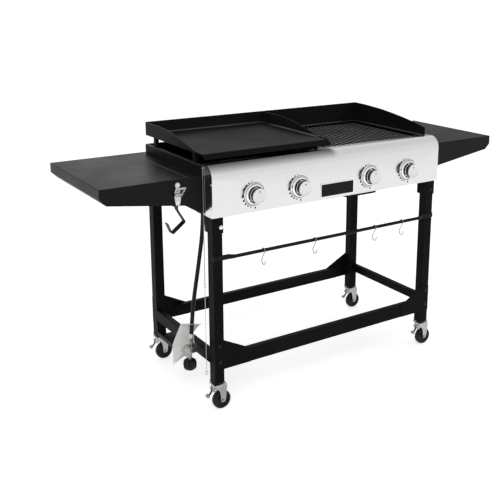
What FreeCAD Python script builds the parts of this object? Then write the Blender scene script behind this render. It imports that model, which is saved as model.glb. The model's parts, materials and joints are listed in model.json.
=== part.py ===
import FreeCAD, Part
import math
import os

# Outdoor gas griddle station: griddle on the left half, grate on the right half.
# Millimetres. X runs along the control panel, the front faces -Y, the floor is Z = 0.
# The origin is on the floor at the middle of the footprint.

V = FreeCAD.Vector

# Overall sizes, and the lines that the front and the rear are set out from
length = 1680.0
depth = 550.0
height = 930.0
knobReach = 37.0
panelFront = knobReach - depth / 2
shelfBack = depth / 2

# Firebox, open on top, with a skin outside each end
fireHalf = 489.5
fireFront = panelFront + 60.0
fireBack = shelfBack - 7.0
fireBottom = 687.0
fireTop = 850.0
fireSheet = 1.2
tubHalf = fireHalf - 31.5
rimWidth = 10.0
ledgeWidth = 12.0
grateLedge = 20.0
grateLedgeTop = 834.0
tamerLedgeTop = 778.0
drainRadius = 16.0

# Control panel, one rolled stainless sheet with welded end plates
panelRear = panelFront + 66.0
panelPlateRear = fireFront
panelTop = fireTop + 8.0
panelBottom = fireBottom + 1.0
panelRadius = 42.0
panelSheet = 1.2
panelPlate = 1.5
panelLip = 14.0
stemHole = 7.0

# Knobs and the gas train behind them
knobInner = 153.0
knobOuter = 335.0
knobZ = 749.0
stemRadius = 4.0
shaftClearance = 0.05
pushTravel = 3.0
bezelRadius = 39.0
bezelFlare = 8.0
bezelHole = 25.0
bezelHeight = 12.0
knobGripRadius = 23.0
knobFaceRadius = 26.0
valveFront = panelFront + 24.0
stemInside = 11.5
valveBack = valveFront + 18.0
valveHalf = 13.0
manifoldY = valveFront + 13.0
manifoldZ = knobZ - 32.0
manifoldRadius = 10.0
inletEnd = 700.0

# Burners and what lies over them
burnerRadius = 12.5
burnerWall = 1.2
burnerMouth = fireFront - 13.0
burnerEnd = fireBack - 23.0
slitStart = burnerMouth + 61.0
tamerHalf = 45.0
tamerRise = 26.0
tamerSheet = 1.2
sleeveRadius = 4.0

# Griddle, a folded plate on four feet
plateHalf = fireHalf - 3.5
plateRight = 14.0
plateBack = shelfBack - 5.0
plateFloor = 885.0
plateSheet = 3.0
plateWall = 2.0
plateBreakY = fireFront + 14.0
plateFrontY = fireFront - 11.0
plateFrontZ = 871.0
shoulderY = plateBack - 120.0
kneeY = plateFrontY + 169.0
kneeDrop = 22.0
footPlaces = (plateFrontY + 80.0, plateBack - 77.0)
footSide = 14.0
footSheet = 2.0

# Windscreen on the grate half
screenSheet = 1.5
screenFrontY = fireFront + 13.0
screenFrontZ = 884.0
screenCrown = 13.0
screenFlange = 12.0
railWidth = 28.0
railDepth = 25.0

# Cooking grates, bars from front to back
grateRight = tubHalf - 3.0
gratePitch = 20.9
grateBar = 7.0
grateBars = 10
grateTop = 846.0
grateFront = fireFront + 14.0
grateBack = fireBack - 14.0
grateFrame = 26.0
grateThickness = 8.0
crossBarStart = 95.5
crossBarGap = 138.0

# Side shelves
shelfTop = 819.0
shelfFront = fireFront
shelfSheet = 1.2
shelfEndDrop = 33.0
shelfChamfer = 22.0
shelfOuterDrop = 54.0
shelfKneeX = fireHalf + 64.5
shelfKneeZ = 728.0
shelfInnerZ = 691.0

# Bottle opener, screwed on the left shelf's front
openerX = -fireHalf - 93.5
openerZ = 765.0
openerSheet = 4.0
openerReach = 27.0
openerHalf = 11.5
earRadius = 9.0

# Legs, 36 mm square tube
legOuter = fireHalf - 4.5
legSide = 36.0
legWall = 1.5
legFront = panelFront + 13.0
legBack = fireBack
legFoot = 105.0
capHeight = 14.0
capLip = 3.0
capOverhang = 1.5

# Lower beams and their corner gussets
sideBeamTop = 211.0
sideBeamBottom = 168.0
endBeamTop = 203.0
endBeamBottom = 151.0
beamSheet = 2.0
beamFlange = 20.0
endBeamHalf = legOuter - 87.0
gussetInner = legOuter - 139.0
gussetTop = 256.0

# Brackets that hold the leg tops
bracketSheet = 2.5
bracketBottom = 632.0
bracketReach = 68.0

# Rod across the front with its hooks
rodRadius = 6.0
rodZ = 548.0
rodY = legFront - 10.0
rodFlat = 56.0
rodFlatThickness = 4.0
rodFlatHalf = 8.5
rodTaper = 22.0
hookWire = 3.0
hookSeat = 0.3
hookUpper = 8.0
hookLower = 11.0
hookDrop = 39.0
hookPlaces = (-298.0, -85.0, 187.0, 319.0)

# Casters
wheelRadius = 33.0
wheelWidth = 21.0
casterTrail = 14.0
casterPlate = 42.0
pinRadius = 5.0
axleRadius = 3.0
forkSheet = 2.2
forkGap = 1.5
forkTop = 98.0
pedalX = 19.0
pedalZ = 76.0
pedalHalf = 6.0
pedalPin = 1.5

# Grease tray under the grate half
trayCentre = 250.0
trayHalf = 77.0
trayFront = -80.0
trayLength = 250.0
trayDrop = 25.0
trayLipZ = 652.0
traySheet = 1.2
trayLip = 9.0
trayCorner = 14.0

# Gas hose, and the regulator on its end
hoseRadius = 7.0
hoseRoute = (
    (-471.0, -134.0, 700.0),
    (-471.0, -134.0, 632.0),
    (-489.0, -129.0, 500.0),
    (-504.0, -120.0, 385.0),
    (-511.0, -117.0, 316.0),
    (-515.5, -117.0, 256.0),
)
inletX, inletY = hoseRoute[0][:2]
ferruleLength = 16.0
drumRadius = 21.0
ventRadius = 16.0
spigotRadius = 6.0
spigotLength = 34.0
nutDrop = 94.0
nutRadius = 24.0
nutHeight = 36.0
tagSheet = 0.6
tagTurn = -34.0
tagSlack = 0.5

# Match holders that hang on chains from the panel ends
chainX = fireHalf + 4.5
chainY = panelPlateRear - 4.0
chainTop = 845.0
chainEnd = 440.0
chainRadius = 1.1
matchEnd = 124.0
matchRadius = 1.0

# Tank hook and tank rest on the left side
tankY = 23.0
tankHookWidth = 25.0
tankHookSheet = 3.0
tankPlateHalf = 26.0
restDepth = 134.0
restLength = 90.0
restZ = 106.0
restSheet = 2.0


def box(x0, x1, y0, y1, z0, z1):
    """A block between two corners, given in any order."""
    low = V(min(x0, x1), min(y0, y1), min(z0, z1))
    return Part.makeBox(abs(x1 - x0), abs(y1 - y0), abs(z1 - z0), low)


def rod(start, end, radius):
    start, end = V(*start), V(*end)
    return Part.makeCylinder(radius, (end - start).Length, start, end - start)


def fuse(shapes):
    joined = shapes[0].multiFuse(shapes[1:]) if len(shapes) > 1 else shapes[0]
    return joined.removeSplitter()


def mirrorX(shape):
    return shape.mirror(V(0, 0, 0), V(1, 0, 0))


def lift(plane, point):
    """A 2-D point as a point of the YZ, XZ or XY plane."""
    a, b = point
    return {"YZ": V(0, a, b), "XZ": V(a, 0, b), "XY": V(a, b, 0)}[plane]


def roundedEdges(points, radii, plane, closed):
    """Lines through the points, with a tangent arc at each corner that has a radius."""
    count = len(points)
    cuts = []
    for i, point in enumerate(points):
        here = V(point[0], point[1], 0)
        inner = closed or 0 < i < count - 1
        if not inner or radii[i] <= 0:
            cuts.append((here, None, here))
            continue
        before = V(*points[i - 1], 0) - here
        after = V(*points[(i + 1) % count], 0) - here
        before.normalize()
        after.normalize()
        half = before.getAngle(after) / 2
        reach = radii[i] / math.tan(half)
        middle = before + after
        middle.normalize()
        middle = here + middle * (radii[i] / math.sin(half) - radii[i])
        cuts.append((here + before * reach, middle, here + after * reach))
    edges = []
    for i, (first, middle, last) in enumerate(cuts):
        if middle is not None:
            ends = [lift(plane, (p.x, p.y)) for p in (first, middle, last)]
            edges.append(Part.Arc(*ends).toShape())
        if i == count - 1 and not closed:
            break
        target = cuts[(i + 1) % count][0]
        if last.distanceToPoint(target) > 1e-6:
            pair = [lift(plane, (p.x, p.y)) for p in (last, target)]
            edges.append(Part.makeLine(*pair))
    return edges


def panelFace(points, plane, radius=0.0):
    radii = radius if isinstance(radius, (list, tuple)) else [radius] * len(points)
    return Part.Face(Part.Wire(roundedEdges(points, radii, plane, True)))


def extrude(face, plane, start, end):
    """Carries a face of a base plane along that plane's normal, from start to end."""
    axis = {"YZ": V(1, 0, 0), "XZ": V(0, 1, 0), "XY": V(0, 0, 1)}[plane]
    moved = face.translated(axis * start)
    return moved.extrude(axis * (end - start))


def bentSheet(points, sheet, plane, start, end, inner=1.0, bends=None):
    """A sheet folded along the points, its wall on the left of the way they run."""
    count = len(points)
    ways = []
    for i in range(count - 1):
        way = V(*points[i + 1], 0) - V(*points[i], 0)
        way.normalize()
        ways.append(way)
    lefts = [V(-w.y, w.x, 0) for w in ways]
    offset = []
    near = []
    far = []
    for i in range(count):
        here = V(*points[i], 0)
        if i in (0, count - 1):
            side = lefts[0] if i == 0 else lefts[-1]
            offset.append(here + side * sheet)
            near.append(0)
            far.append(0)
            continue
        turn = ways[i - 1].cross(ways[i]).z
        share = sheet / (1 + lefts[i - 1].dot(lefts[i]))
        offset.append(here + (lefts[i - 1] + lefts[i]) * share)
        small = bends[i] if bends else inner
        near.append(small + sheet if turn > 0 else small)
        far.append(small if turn > 0 else small + sheet)
    edges = roundedEdges(points, near, plane, False)
    back = [(p.x, p.y) for p in reversed(offset)]
    edges += roundedEdges(back, list(reversed(far)), plane, False)
    edges.append(Part.makeLine(lift(plane, points[-1]), lift(plane, back[0])))
    edges.append(Part.makeLine(lift(plane, back[-1]), lift(plane, points[0])))
    wire = Part.Wire(Part.__sortEdges__(edges))
    return extrude(Part.Face(wire), plane, start, end)


def revolved(profile, origin, axis, across):
    """Turns a closed outline of (radius, height) points about an axis."""
    origin, axis, across = V(*origin), V(*axis), V(*across)
    points = [origin + across * r + axis * h for r, h in profile]
    face = Part.Face(Part.makePolygon(points + [points[0]]))
    solid = face.revolve(origin, axis, 360)
    if solid.Volume < 0:
        solid.reverse()
    return solid


def wireSolid(edges, radius):
    """A round wire that follows the edges from the first one's start."""
    path = Part.Wire(edges)
    first = edges[0]
    start = first.valueAt(first.FirstParameter)
    way = first.tangentAt(first.FirstParameter)
    ring = Part.Wire(Part.makeCircle(radius, start, way))
    return path.makePipeShell([ring], True, True)


def knobPlaces():
    return (-knobOuter, -knobInner, knobInner, knobOuter)


def fireboxPan():
    """The tub: folded front, floor and rear, end walls, ledges and tray runners."""
    skin = fireHalf - fireSheet
    points = [
        (fireFront + ledgeWidth, fireTop),
        (fireFront, fireTop),
        (fireFront, fireBottom),
        (fireBack, fireBottom),
        (fireBack, fireTop),
        (fireBack - ledgeWidth, fireTop),
    ]
    sheet = bentSheet(points, fireSheet, "YZ", -skin, skin)
    inFront, inBack = fireFront + fireSheet, fireBack - fireSheet
    for side in (-1, 1):
        gap = box(side * (tubHalf + fireSheet), side * (fireHalf + 1),
                  inFront + 2, inBack - 2, fireBottom - 1, fireBottom + 4)
        sheet = sheet.cut(gap)
    floorTop = fireBottom + fireSheet
    ends = [box(side * tubHalf, side * (tubHalf + fireSheet), inFront, inBack, floorTop,
                grateLedgeTop) for side in (-1, 1)]
    ledges = []
    left = plateRight + railWidth / 2 + fireSheet
    for top, wide in ((grateLedgeTop, grateLedge), (tamerLedgeTop, ledgeWidth)):
        for wall, way in ((inFront, 1), (inBack, -1)):
            ledges.append(box(left, tubHalf, wall, wall + way * wide, top - fireSheet, top))
    railZ = knobZ - burnerRadius - 0.2
    ledges.append(box(-tubHalf, tubHalf, inBack, inBack - 2 * ledgeWidth,
                      railZ - fireSheet, railZ))
    pan = fuse([sheet] + ends + ledges + trayRunners())
    openings = [rod((x, fireFront - 1, knobZ), (x, inFront + 1, knobZ), burnerRadius + 0.25)
                for x in knobPlaces()]
    openings.append(rod((inletX, fireFront - 1, manifoldZ), (inletX, inFront + 1, manifoldZ),
                        manifoldRadius))
    drainY = trayFront + 100
    openings.append(rod((trayCentre, drainY, fireBottom - 1), (trayCentre, drainY, floorTop + 1),
                        drainRadius))
    return pan.cut(Part.makeCompound(openings))


def trayRunners():
    """Two folded runners under the floor that carry the lips of the grease tray."""
    web = trayHalf + trayLip + 2.0
    points = [
        (trayCentre + trayHalf + 1, trayLipZ - fireSheet),
        (trayCentre + web, trayLipZ - fireSheet),
        (trayCentre + web, fireBottom - fireSheet),
        (trayCentre + web + 8, fireBottom - fireSheet),
    ]
    runner = bentSheet(points, fireSheet, "XZ", trayFront + 10, trayFront + trayLength, 0.6)
    return [runner, runner.mirror(V(trayCentre, 0, 0), V(1, 0, 0))]


def fireboxSide(side):
    """The outer skin of one end, with its top edge folded in between the pan's rims."""
    points = [
        (fireHalf, fireBottom),
        (fireHalf, fireTop),
        (fireHalf - rimWidth, fireTop),
    ]
    skin = bentSheet(points, fireSheet, "XZ", fireFront, fireBack)
    low = fireTop - 2 * fireSheet
    for y, way in ((fireFront, 1), (fireBack, -1)):
        corner = box(fireHalf - rimWidth - 1, fireHalf - fireSheet, y - way,
                     y + way * (ledgeWidth + 0.3), low, fireTop + 1)
        skin = skin.cut(corner)
    return skin if side > 0 else mirrorX(skin)


def centreRail():
    """An upturned channel from front to back that carries the griddle's right feet."""
    half = railWidth / 2
    points = [
        (plateRight + half, fireTop - railDepth),
        (plateRight + half, fireTop),
        (plateRight - half, fireTop),
        (plateRight - half, fireTop - railDepth),
    ]
    front, back = fireFront + 2 * fireSheet, fireBack - 2 * fireSheet
    rail = bentSheet(points, fireSheet, "XZ", front, back)
    for y, way in ((front, 1), (back, -1)):
        notch = box(plateRight - half - 1, plateRight + half + 1, y - way,
                    y + way * ledgeWidth, fireTop - fireSheet, fireTop + 1)
        rail = rail.cut(notch)
    return rail


def controlPanel():
    points = [
        (panelRear, panelTop),
        (panelFront, panelTop),
        (panelFront, panelBottom),
        (panelFront + panelLip, panelBottom),
    ]
    bends = [0, panelRadius - panelSheet, 1.0, 0]
    panel = bentSheet(points, panelSheet, "YZ", -fireHalf, fireHalf, bends=bends)
    for x in knobPlaces():
        panel = panel.cut(rod((x, panelFront - 1, knobZ), (x, panelFront + 3, knobZ), stemHole))
    outline = [
        (panelPlateRear, panelTop),
        (panelFront, panelTop),
        (panelFront, panelBottom),
        (panelPlateRear, panelBottom),
    ]
    face = panelFace(outline, "YZ", [0, panelRadius, 3, 6])
    plates = []
    for side in (-1, 1):
        plate = extrude(face, "YZ", side * fireHalf, side * (fireHalf + panelPlate))
        eye = rod((side * (fireHalf - 1), manifoldY, manifoldZ),
                  (side * (fireHalf + 3), manifoldY, manifoldZ), 5)
        plates.append(plate.cut(eye))
    return fuse([panel] + plates)


def gasManifold():
    """A pipe behind the panel, with the forged elbows that turn it down into the hose."""
    pipe = rod((inletX, manifoldY, manifoldZ), (knobOuter + 25, manifoldY, manifoldZ),
               manifoldRadius)
    block = manifoldRadius + 1
    elbow = box(inletX - block, inletX + block, manifoldY - block, manifoldY + block,
                manifoldZ - block, manifoldZ + block)
    back = rod((inletX, manifoldY, manifoldZ), (inletX, inletY, manifoldZ),
               manifoldRadius - 1)
    knee = box(inletX - block, inletX + block, inletY - block, inletY + block,
               manifoldZ - block + 1, manifoldZ + block)
    nut = hexPrism(inletX, inletY, inletEnd, manifoldZ - block + 1, 9.5)
    plug = rod((knobOuter + 22, manifoldY, manifoldZ), (knobOuter + 30, manifoldY, manifoldZ),
               manifoldRadius + 1)
    return fuse([pipe, elbow, back, knee, nut, plug])


def hexPrism(x, y, z0, z1, across):
    corner = across / math.cos(math.pi / 6)
    points = [(x + corner * math.cos(k * math.pi / 3), y + corner * math.sin(k * math.pi / 3))
              for k in range(6)]
    return extrude(panelFace(points, "XY"), "XY", z0, z1)


def hexBar(x, z, y0, y1, across):
    """The same six-sided bar, lying from front to back."""
    bar = hexPrism(x, -z, y0, y1, across)
    return bar.rotated(V(0, 0, 0), V(1, 0, 0), -90)


def valveBody(x):
    """Saddle on the manifold, block, bonnet and the jet that enters the burner."""
    saddleTop = manifoldZ + manifoldRadius
    saddle = box(x - 9, x + 9, manifoldY - 8, manifoldY + 5, saddleTop, knobZ - 8)
    block = box(x - valveHalf, x + valveHalf, valveFront + 4, valveBack, knobZ - valveHalf,
                knobZ + valveHalf)
    bonnet = hexBar(x, knobZ, valveFront, valveFront + 5, 9)
    jet = hexBar(x, knobZ, valveBack - 1, burnerMouth + 8, 4.5)
    solid = fuse([saddle, block, bonnet, jet])
    bore = rod((x, valveFront - 1, knobZ), (x, valveFront + stemInside + pushTravel + 0.5, knobZ),
               stemRadius + shaftClearance)
    return solid.cut(bore)


def burner(x):
    """A tube with an open mouth, a closed far end and a long flame slit on each side."""
    tube = rod((x, burnerMouth, knobZ), (x, burnerEnd, knobZ), burnerRadius)
    bore = rod((x, burnerMouth - 1, knobZ), (x, burnerEnd - burnerWall, knobZ),
               burnerRadius - burnerWall)
    slit = box(x - burnerRadius - 1, x + burnerRadius + 1, slitStart, burnerEnd - 15,
               knobZ + 4, knobZ + 6)
    return tube.cut(bore).cut(slit)


def electrode(x):
    """The spark pin beside a burner, in its ceramic sleeve on the firebox front."""
    side = x + burnerRadius + 9
    front = fireFront + fireSheet
    sleeve = hexBar(side, knobZ + 4, front, front + 34, sleeveRadius)
    pin = box(side - 0.8, side + 0.8, front + 33, front + 46, knobZ + 3.2, knobZ + 4.8)
    return fuse([sleeve, pin])


def flameTamer(x):
    """A folded roof over a burner, with a flat foot along each side."""
    t = tamerSheet
    low = tamerLedgeTop
    points = [
        (x - tamerHalf - 8, low),
        (x - tamerHalf, low),
        (x, low + tamerRise),
        (x + tamerHalf, low),
        (x + tamerHalf + 8, low),
    ]
    front, back = fireFront + fireSheet + 1, fireBack - fireSheet - 1
    return bentSheet(points, t, "XZ", front, back)


def greaseTray():
    """A shallow pan with rounded corners and a lip along each side."""
    top = trayLipZ + traySheet
    bottom = trayLipZ - trayDrop + traySheet
    back = trayFront + trayLength
    outline = [
        (trayCentre - trayHalf, trayFront),
        (trayCentre + trayHalf, trayFront),
        (trayCentre + trayHalf, back),
        (trayCentre - trayHalf, back),
    ]
    solid = extrude(panelFace(outline, "XY", trayCorner), "XY", bottom, top)
    t = traySheet
    inner = [
        (trayCentre - trayHalf + t, trayFront + t),
        (trayCentre + trayHalf - t, trayFront + t),
        (trayCentre + trayHalf - t, back - t),
        (trayCentre - trayHalf + t, back - t),
    ]
    hollow = extrude(panelFace(inner, "XY", trayCorner - t), "XY", bottom + t, top + 1)
    lips = [box(trayCentre + side * (trayHalf - t), trayCentre + side * (trayHalf + trayLip),
                trayFront + 15, back - 15, trayLipZ, top) for side in (-1, 1)]
    return fuse([solid] + lips).cut(hollow)


def griddle():
    """Folded floor with a sloped front, three walls and four welded feet."""
    left, right = -plateHalf, plateRight
    points = [
        (plateBack, plateFloor),
        (plateBreakY, plateFloor),
        (plateFrontY, plateFrontZ),
    ]
    floor = bentSheet(points, plateSheet, "YZ", left, right, bends=[0, 8, 0])
    low = plateFloor - plateSheet
    rear = V(0, plateBack, height)
    shoulder = V(0, shoulderY, height)
    bend = V(0, (shoulderY + kneeY) / 2 - 3, height - kneeDrop / 3)
    knee = V(0, kneeY, height - kneeDrop)
    edges = [
        Part.makeLine(rear, shoulder),
        Part.Arc(shoulder, bend, knee).toShape(),
    ]
    rest = [
        knee,
        V(0, plateBreakY + 42, plateFloor + 2),
        V(0, plateBreakY - 1, plateFloor + 1),
        V(0, plateFrontY, plateFrontZ + 1),
        V(0, plateFrontY, plateFrontZ - plateSheet),
        V(0, plateBreakY, low),
        V(0, plateBack, low),
        rear,
    ]
    edges += [Part.makeLine(a, b) for a, b in zip(rest, rest[1:])]
    side = Part.Face(Part.Wire(edges))
    walls = [
        extrude(side, "YZ", left, left + plateWall),
        extrude(side, "YZ", right - plateWall, right),
        box(left, right, plateBack - plateWall, plateBack, low, height),
    ]
    feet = []
    for x, way in ((left + plateWall, 1), (right - plateWall, -1)):
        for y in footPlaces:
            corner = box(x, x + way * footSide, y, y + footSide, fireTop, low)
            hollow = box(x + way * footSheet, x + way * (footSide + 1), y + footSheet,
                         y + footSide + 1, fireTop - 1, low)
            feet.append(corner.cut(hollow))
    return fuse([floor] + walls + feet)


def windscreen():
    """Rear and right walls with a foot flange, the right one cut to a long arc."""
    left = plateRight + 1.0
    t = screenSheet
    rear = box(left, plateHalf, plateBack - t, plateBack, fireTop, height)
    top = V(0, plateBack, height)
    middle = V(0, (plateBack + screenFrontY) / 2 - 12.5, height - screenCrown)
    nose = V(0, screenFrontY, screenFrontZ)
    toe = V(0, screenFrontY, fireTop)
    heel = V(0, plateBack, fireTop)
    edges = [
        Part.Arc(top, middle, nose).toShape(),
        Part.makeLine(nose, toe),
        Part.makeLine(toe, heel),
        Part.makeLine(heel, top),
    ]
    wall = extrude(Part.Face(Part.Wire(edges)), "YZ", plateHalf - t, plateHalf)
    rearFoot = box(left, plateHalf, plateBack - screenFlange, plateBack, fireTop, fireTop + t)
    sideFoot = box(plateHalf - screenFlange, plateHalf, screenFrontY, plateBack, fireTop,
                   fireTop + t)
    return fuse([rear, wall, rearFoot, sideFoot])


def grate(number):
    """One half of the grate: long bars on two cross bars, with a plate at each end."""
    first = grateRight - grateBar / 2 - (2 * grateBars - 1) * gratePitch
    first += number * grateBars * gratePitch
    low = grateTop - grateThickness
    bars = [box(first + k * gratePitch - grateBar / 2, first + k * gratePitch + grateBar / 2,
                grateFront + 4, grateBack - 4, low, grateTop) for k in range(grateBars)]
    left = first - grateBar / 2
    right = first + (grateBars - 1) * gratePitch + grateBar / 2
    places = (grateFront + crossBarStart, grateFront + crossBarStart + crossBarGap)
    crosses = [box(left, right, y, y + grateBar, grateLedgeTop - 2, grateTop - 3)
               for y in places]
    ends = [box(left, right, grateFront, grateFront + grateFrame, grateLedgeTop, low + 3),
            box(left, right, grateBack - grateFrame, grateBack, grateLedgeTop, low + 3)]
    return fuse(bars + crosses + ends)


def shelf(side):
    """A folded tray with a deep skirt that grows toward the firebox."""
    t = shelfSheet
    outer = length / 2
    inner = fireHalf
    low = shelfTop - shelfOuterDrop
    chin = outer - shelfChamfer
    outline = [
        (inner, shelfTop),
        (outer, shelfTop),
        (outer, shelfTop - shelfEndDrop),
        (chin, low),
        (shelfKneeX, shelfKneeZ),
        (inner, shelfInnerZ),
    ]
    body = extrude(panelFace(outline, "XZ", [0, 3, 0, 0, 12, 0]), "XZ", shelfFront, shelfBack)
    hollow = [
        (inner + t, shelfTop - t),
        (outer - t, shelfTop - t),
        (outer - t, shelfTop - shelfEndDrop),
        (chin - t, low - 1),
        (chin - t, shelfInnerZ - 10),
        (inner + t, shelfInnerZ - 10),
    ]
    body = body.cut(extrude(panelFace(hollow, "XZ"), "XZ", shelfFront + t, shelfBack - t))
    door = box(inner - 1, inner + 3, tankY - tankPlateHalf, tankY + 2 * tankPlateHalf,
               shelfInnerZ - 5, 765)
    body = body.cut(door)
    return body if side > 0 else mirrorX(body)


def bottleOpener():
    """A cast opener: an ear and a tongue on the wall, and a mouth that slants out of it."""
    x, z, front = openerX, openerZ, shelfFront
    half = openerHalf
    plate = [
        (x - 6, z - 31), (x + 6, z - 31), (x + half, z - 4), (x + half, z + 10),
        (x + 5, z + 30), (x - 5, z + 30), (x - half, z + 10), (x - half, z - 4),
    ]
    back = extrude(panelFace(plate, "XZ", [5, 5, 0, 0, 0, 0, 0, 0]), "XZ",
                   front - openerSheet, front)
    ear = rod((x, front - openerSheet, z + 35), (x, front, z + 35), earRadius)
    side = [
        (front - 3, z - 4), (front - openerReach, z + 25), (front - openerReach, z + 30),
        (front - openerReach + 5, z + 30), (front - 3, z + 8),
    ]
    hood = extrude(panelFace(side, "YZ"), "YZ", x - half, x + half)
    mouth = box(x - half + 3.5, x + half - 3.5, front - openerReach + 5, front - 8,
                z - 10, z + 40)
    return fuse([back, ear, hood.cut(mouth)])


def tankHook():
    """A bent strap under a wider plate that is bolted to the firebox skin."""
    wall = -fireHalf
    points = [
        (wall, 752),
        (wall, 660),
        (wall + 29, 612),
        (wall - 24, 572),
        (wall - 42, 616),
    ]
    half = tankHookWidth / 2
    strap = bentSheet(points[::-1], tankHookSheet, "XZ", tankY - half, tankY + half, 4.0)
    plate = box(wall - tankHookSheet, wall, tankY - half, tankY + 2 * tankPlateHalf - half, 664,
                752)
    return fuse([strap, plate])


def tankRest():
    """A folded plate by the rear left leg that steadies the foot of the tank."""
    t = restSheet
    left, right = -legOuter, -legOuter + restLength
    back = legBack - legSide
    front = back - restDepth
    plate = [(left, front), (right - 26, front), (right, front + 30), (right, back),
             (left, back)]
    floor = extrude(panelFace(plate, "XY", [0, 8, 8, 6, 0]), "XY", restZ, restZ + t)
    curb = box(left, left + t, front, back, restZ, restZ + 16)
    tab = box(left, left + legSide, back - t, back, restZ, restZ + 44)
    return fuse([floor, curb, tab])


def legFrame(side):
    """Two square tubes and the angle beam welded between them."""
    x0, x1 = legOuter - legSide, legOuter
    tubes = []
    for y in (legFront, legBack - legSide):
        outer = box(x0, x1, y, y + legSide, legFoot, fireBottom - bracketSheet)
        w = legWall
        bore = box(x0 + w, x1 - w, y + w, y + legSide - w, legFoot - 1, fireBottom + 1)
        tubes.append(outer.cut(bore))
    points = [
        (legOuter - beamFlange, sideBeamTop),
        (legOuter, sideBeamTop),
        (legOuter, sideBeamBottom),
    ]
    beam = bentSheet(points[::-1], beamSheet, "XZ", legFront + legSide, legBack - legSide)
    frame = Part.makeCompound(tubes + [beam])
    return frame if side > 0 else mirrorX(frame)


def legCap(side, front):
    """A plastic plug in the end of a leg, with the caster's pin through it."""
    inside = legSide - 2 * legWall - 0.4
    half = legSide / 2 + capOverhang
    x = side * (legOuter - legSide / 2)
    y = legFront + legSide / 2 if front else legBack - legSide / 2
    lip = box(x - half, x + half, y - half, y + half, legFoot - capLip, legFoot)
    plug = box(x - inside / 2, x + inside / 2, y - inside / 2, y + inside / 2, legFoot,
               legFoot + capHeight)
    pin = rod((x, y, forkTop - 8), (x, y, legFoot + 8), pinRadius)
    return fuse([lip, plug, pin])


def endBeam(front):
    """An angle beam across the station, with a gusset welded on each end."""
    face = legFront if front else legBack
    inward = 1 if front else -1
    t = beamSheet
    web = box(-endBeamHalf, endBeamHalf, face, face + inward * t, endBeamBottom, endBeamTop)
    flange = box(-endBeamHalf, endBeamHalf, face, face + inward * beamFlange,
                 endBeamTop - t, endBeamTop)
    outline = [
        (gussetInner, endBeamBottom),
        (legOuter, endBeamBottom),
        (legOuter, gussetTop),
        (legOuter - legSide, gussetTop),
        (gussetInner, endBeamTop),
    ]
    plate = extrude(panelFace(outline, "XZ", [0, 2, 4, 6, 0]), "XZ", face, face - inward * t)
    return fuse([web, flange, plate, mirrorX(plate)])


def legBracket(side, front):
    """A folded cup round the leg top, with a plate under the firebox floor."""
    t = bracketSheet
    x0, x1 = legOuter - legSide, legOuter
    top = fireBottom
    face, inward = (legFront, 1) if front else (legBack, -1)
    cheek = face + inward * (legSide + 12)
    skin = box(x0 - t, x1 + t, face - inward * t, face, bracketBottom, top)
    cheeks = [
        box(x0 - t, x0, face, cheek, bracketBottom, top),
        box(x1, x1 + t, face, cheek, bracketBottom, top),
    ]
    roof = box(x0 - t, x1 + t, face, face + inward * (legSide + bracketReach), top - t, top)
    shape = fuse([skin, roof] + cheeks)
    holeY = face + inward * (inletY - legFront)
    hole = rod((-inletX, holeY, top - t - 1), (-inletX, holeY, top + 1), hoseRadius + 2)
    shape = shape.cut(hole)
    return shape if side > 0 else mirrorX(shape)


def hookRod():
    """A round bar pressed flat at both ends, where it is bolted on the front legs."""
    flat, width = rodFlatThickness, rodFlatHalf
    start = legOuter - rodFlat
    inner = start - rodTaper
    parts = [rod((-inner, rodY, rodZ), (inner, rodY, rodZ), rodRadius)]
    square = rodRadius * 0.84
    for side in (-1, 1):
        x0, x1, x2 = side * inner, side * start, side * legOuter
        rings = []
        for x, y0, y1, half in ((x0, rodY - square, rodY + square, square),
                                (x1, legFront - flat, legFront, width)):
            corners = [V(x, y0, rodZ - half), V(x, y1, rodZ - half), V(x, y1, rodZ + half),
                       V(x, y0, rodZ + half)]
            rings.append(Part.makePolygon(corners + corners[:1]))
        parts.append(Part.makeLoft(rings, True, True))
        parts.append(box(x1, x2, legFront - flat, legFront, rodZ - width, rodZ + width))
    return fuse(parts)


def sHook(x):
    """A wire bent to an S across the rod: the top loop lies on it, the lower one opens forward."""
    half = hookWire / 2
    upper = V(0, rodY, rodZ + rodRadius + hookSeat + half - hookUpper)
    lower = upper - V(0, 0, hookDrop)
    lean = (hookUpper + hookLower) / hookDrop
    out = V(0, -math.sqrt(1 - lean ** 2), -lean)
    rear, tip = math.radians(-18), math.radians(160)
    first = V(0, math.cos(rear), math.sin(rear))
    last = V(0, math.cos(tip), math.sin(tip))
    up = V(0, 0, 1)
    wide, narrow = hookUpper + half, hookUpper - half
    tight, loose = hookLower - half, hookLower + half
    edges = [
        Part.makeLine(upper + first * narrow, upper + first * wide),
        Part.Arc(upper + first * wide, upper + up * wide, upper + out * wide).toShape(),
        Part.makeLine(upper + out * wide, lower - out * tight),
        Part.Arc(lower - out * tight, lower - up * tight, lower + last * tight).toShape(),
        Part.makeLine(lower + last * tight, lower + last * loose),
        Part.Arc(lower + last * loose, lower - up * loose, lower - out * loose).toShape(),
        Part.makeLine(lower - out * loose, upper + out * narrow),
        Part.Arc(upper + out * narrow, upper + up * narrow, upper + first * narrow).toShape(),
    ]
    return extrude(Part.Face(Part.Wire(edges)), "YZ", x - half, x + half)


def casterPlace(side, front):
    x = side * (legOuter - legSide / 2)
    y = legFront + legSide / 2 if front else legBack - legSide / 2
    return x, y


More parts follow.
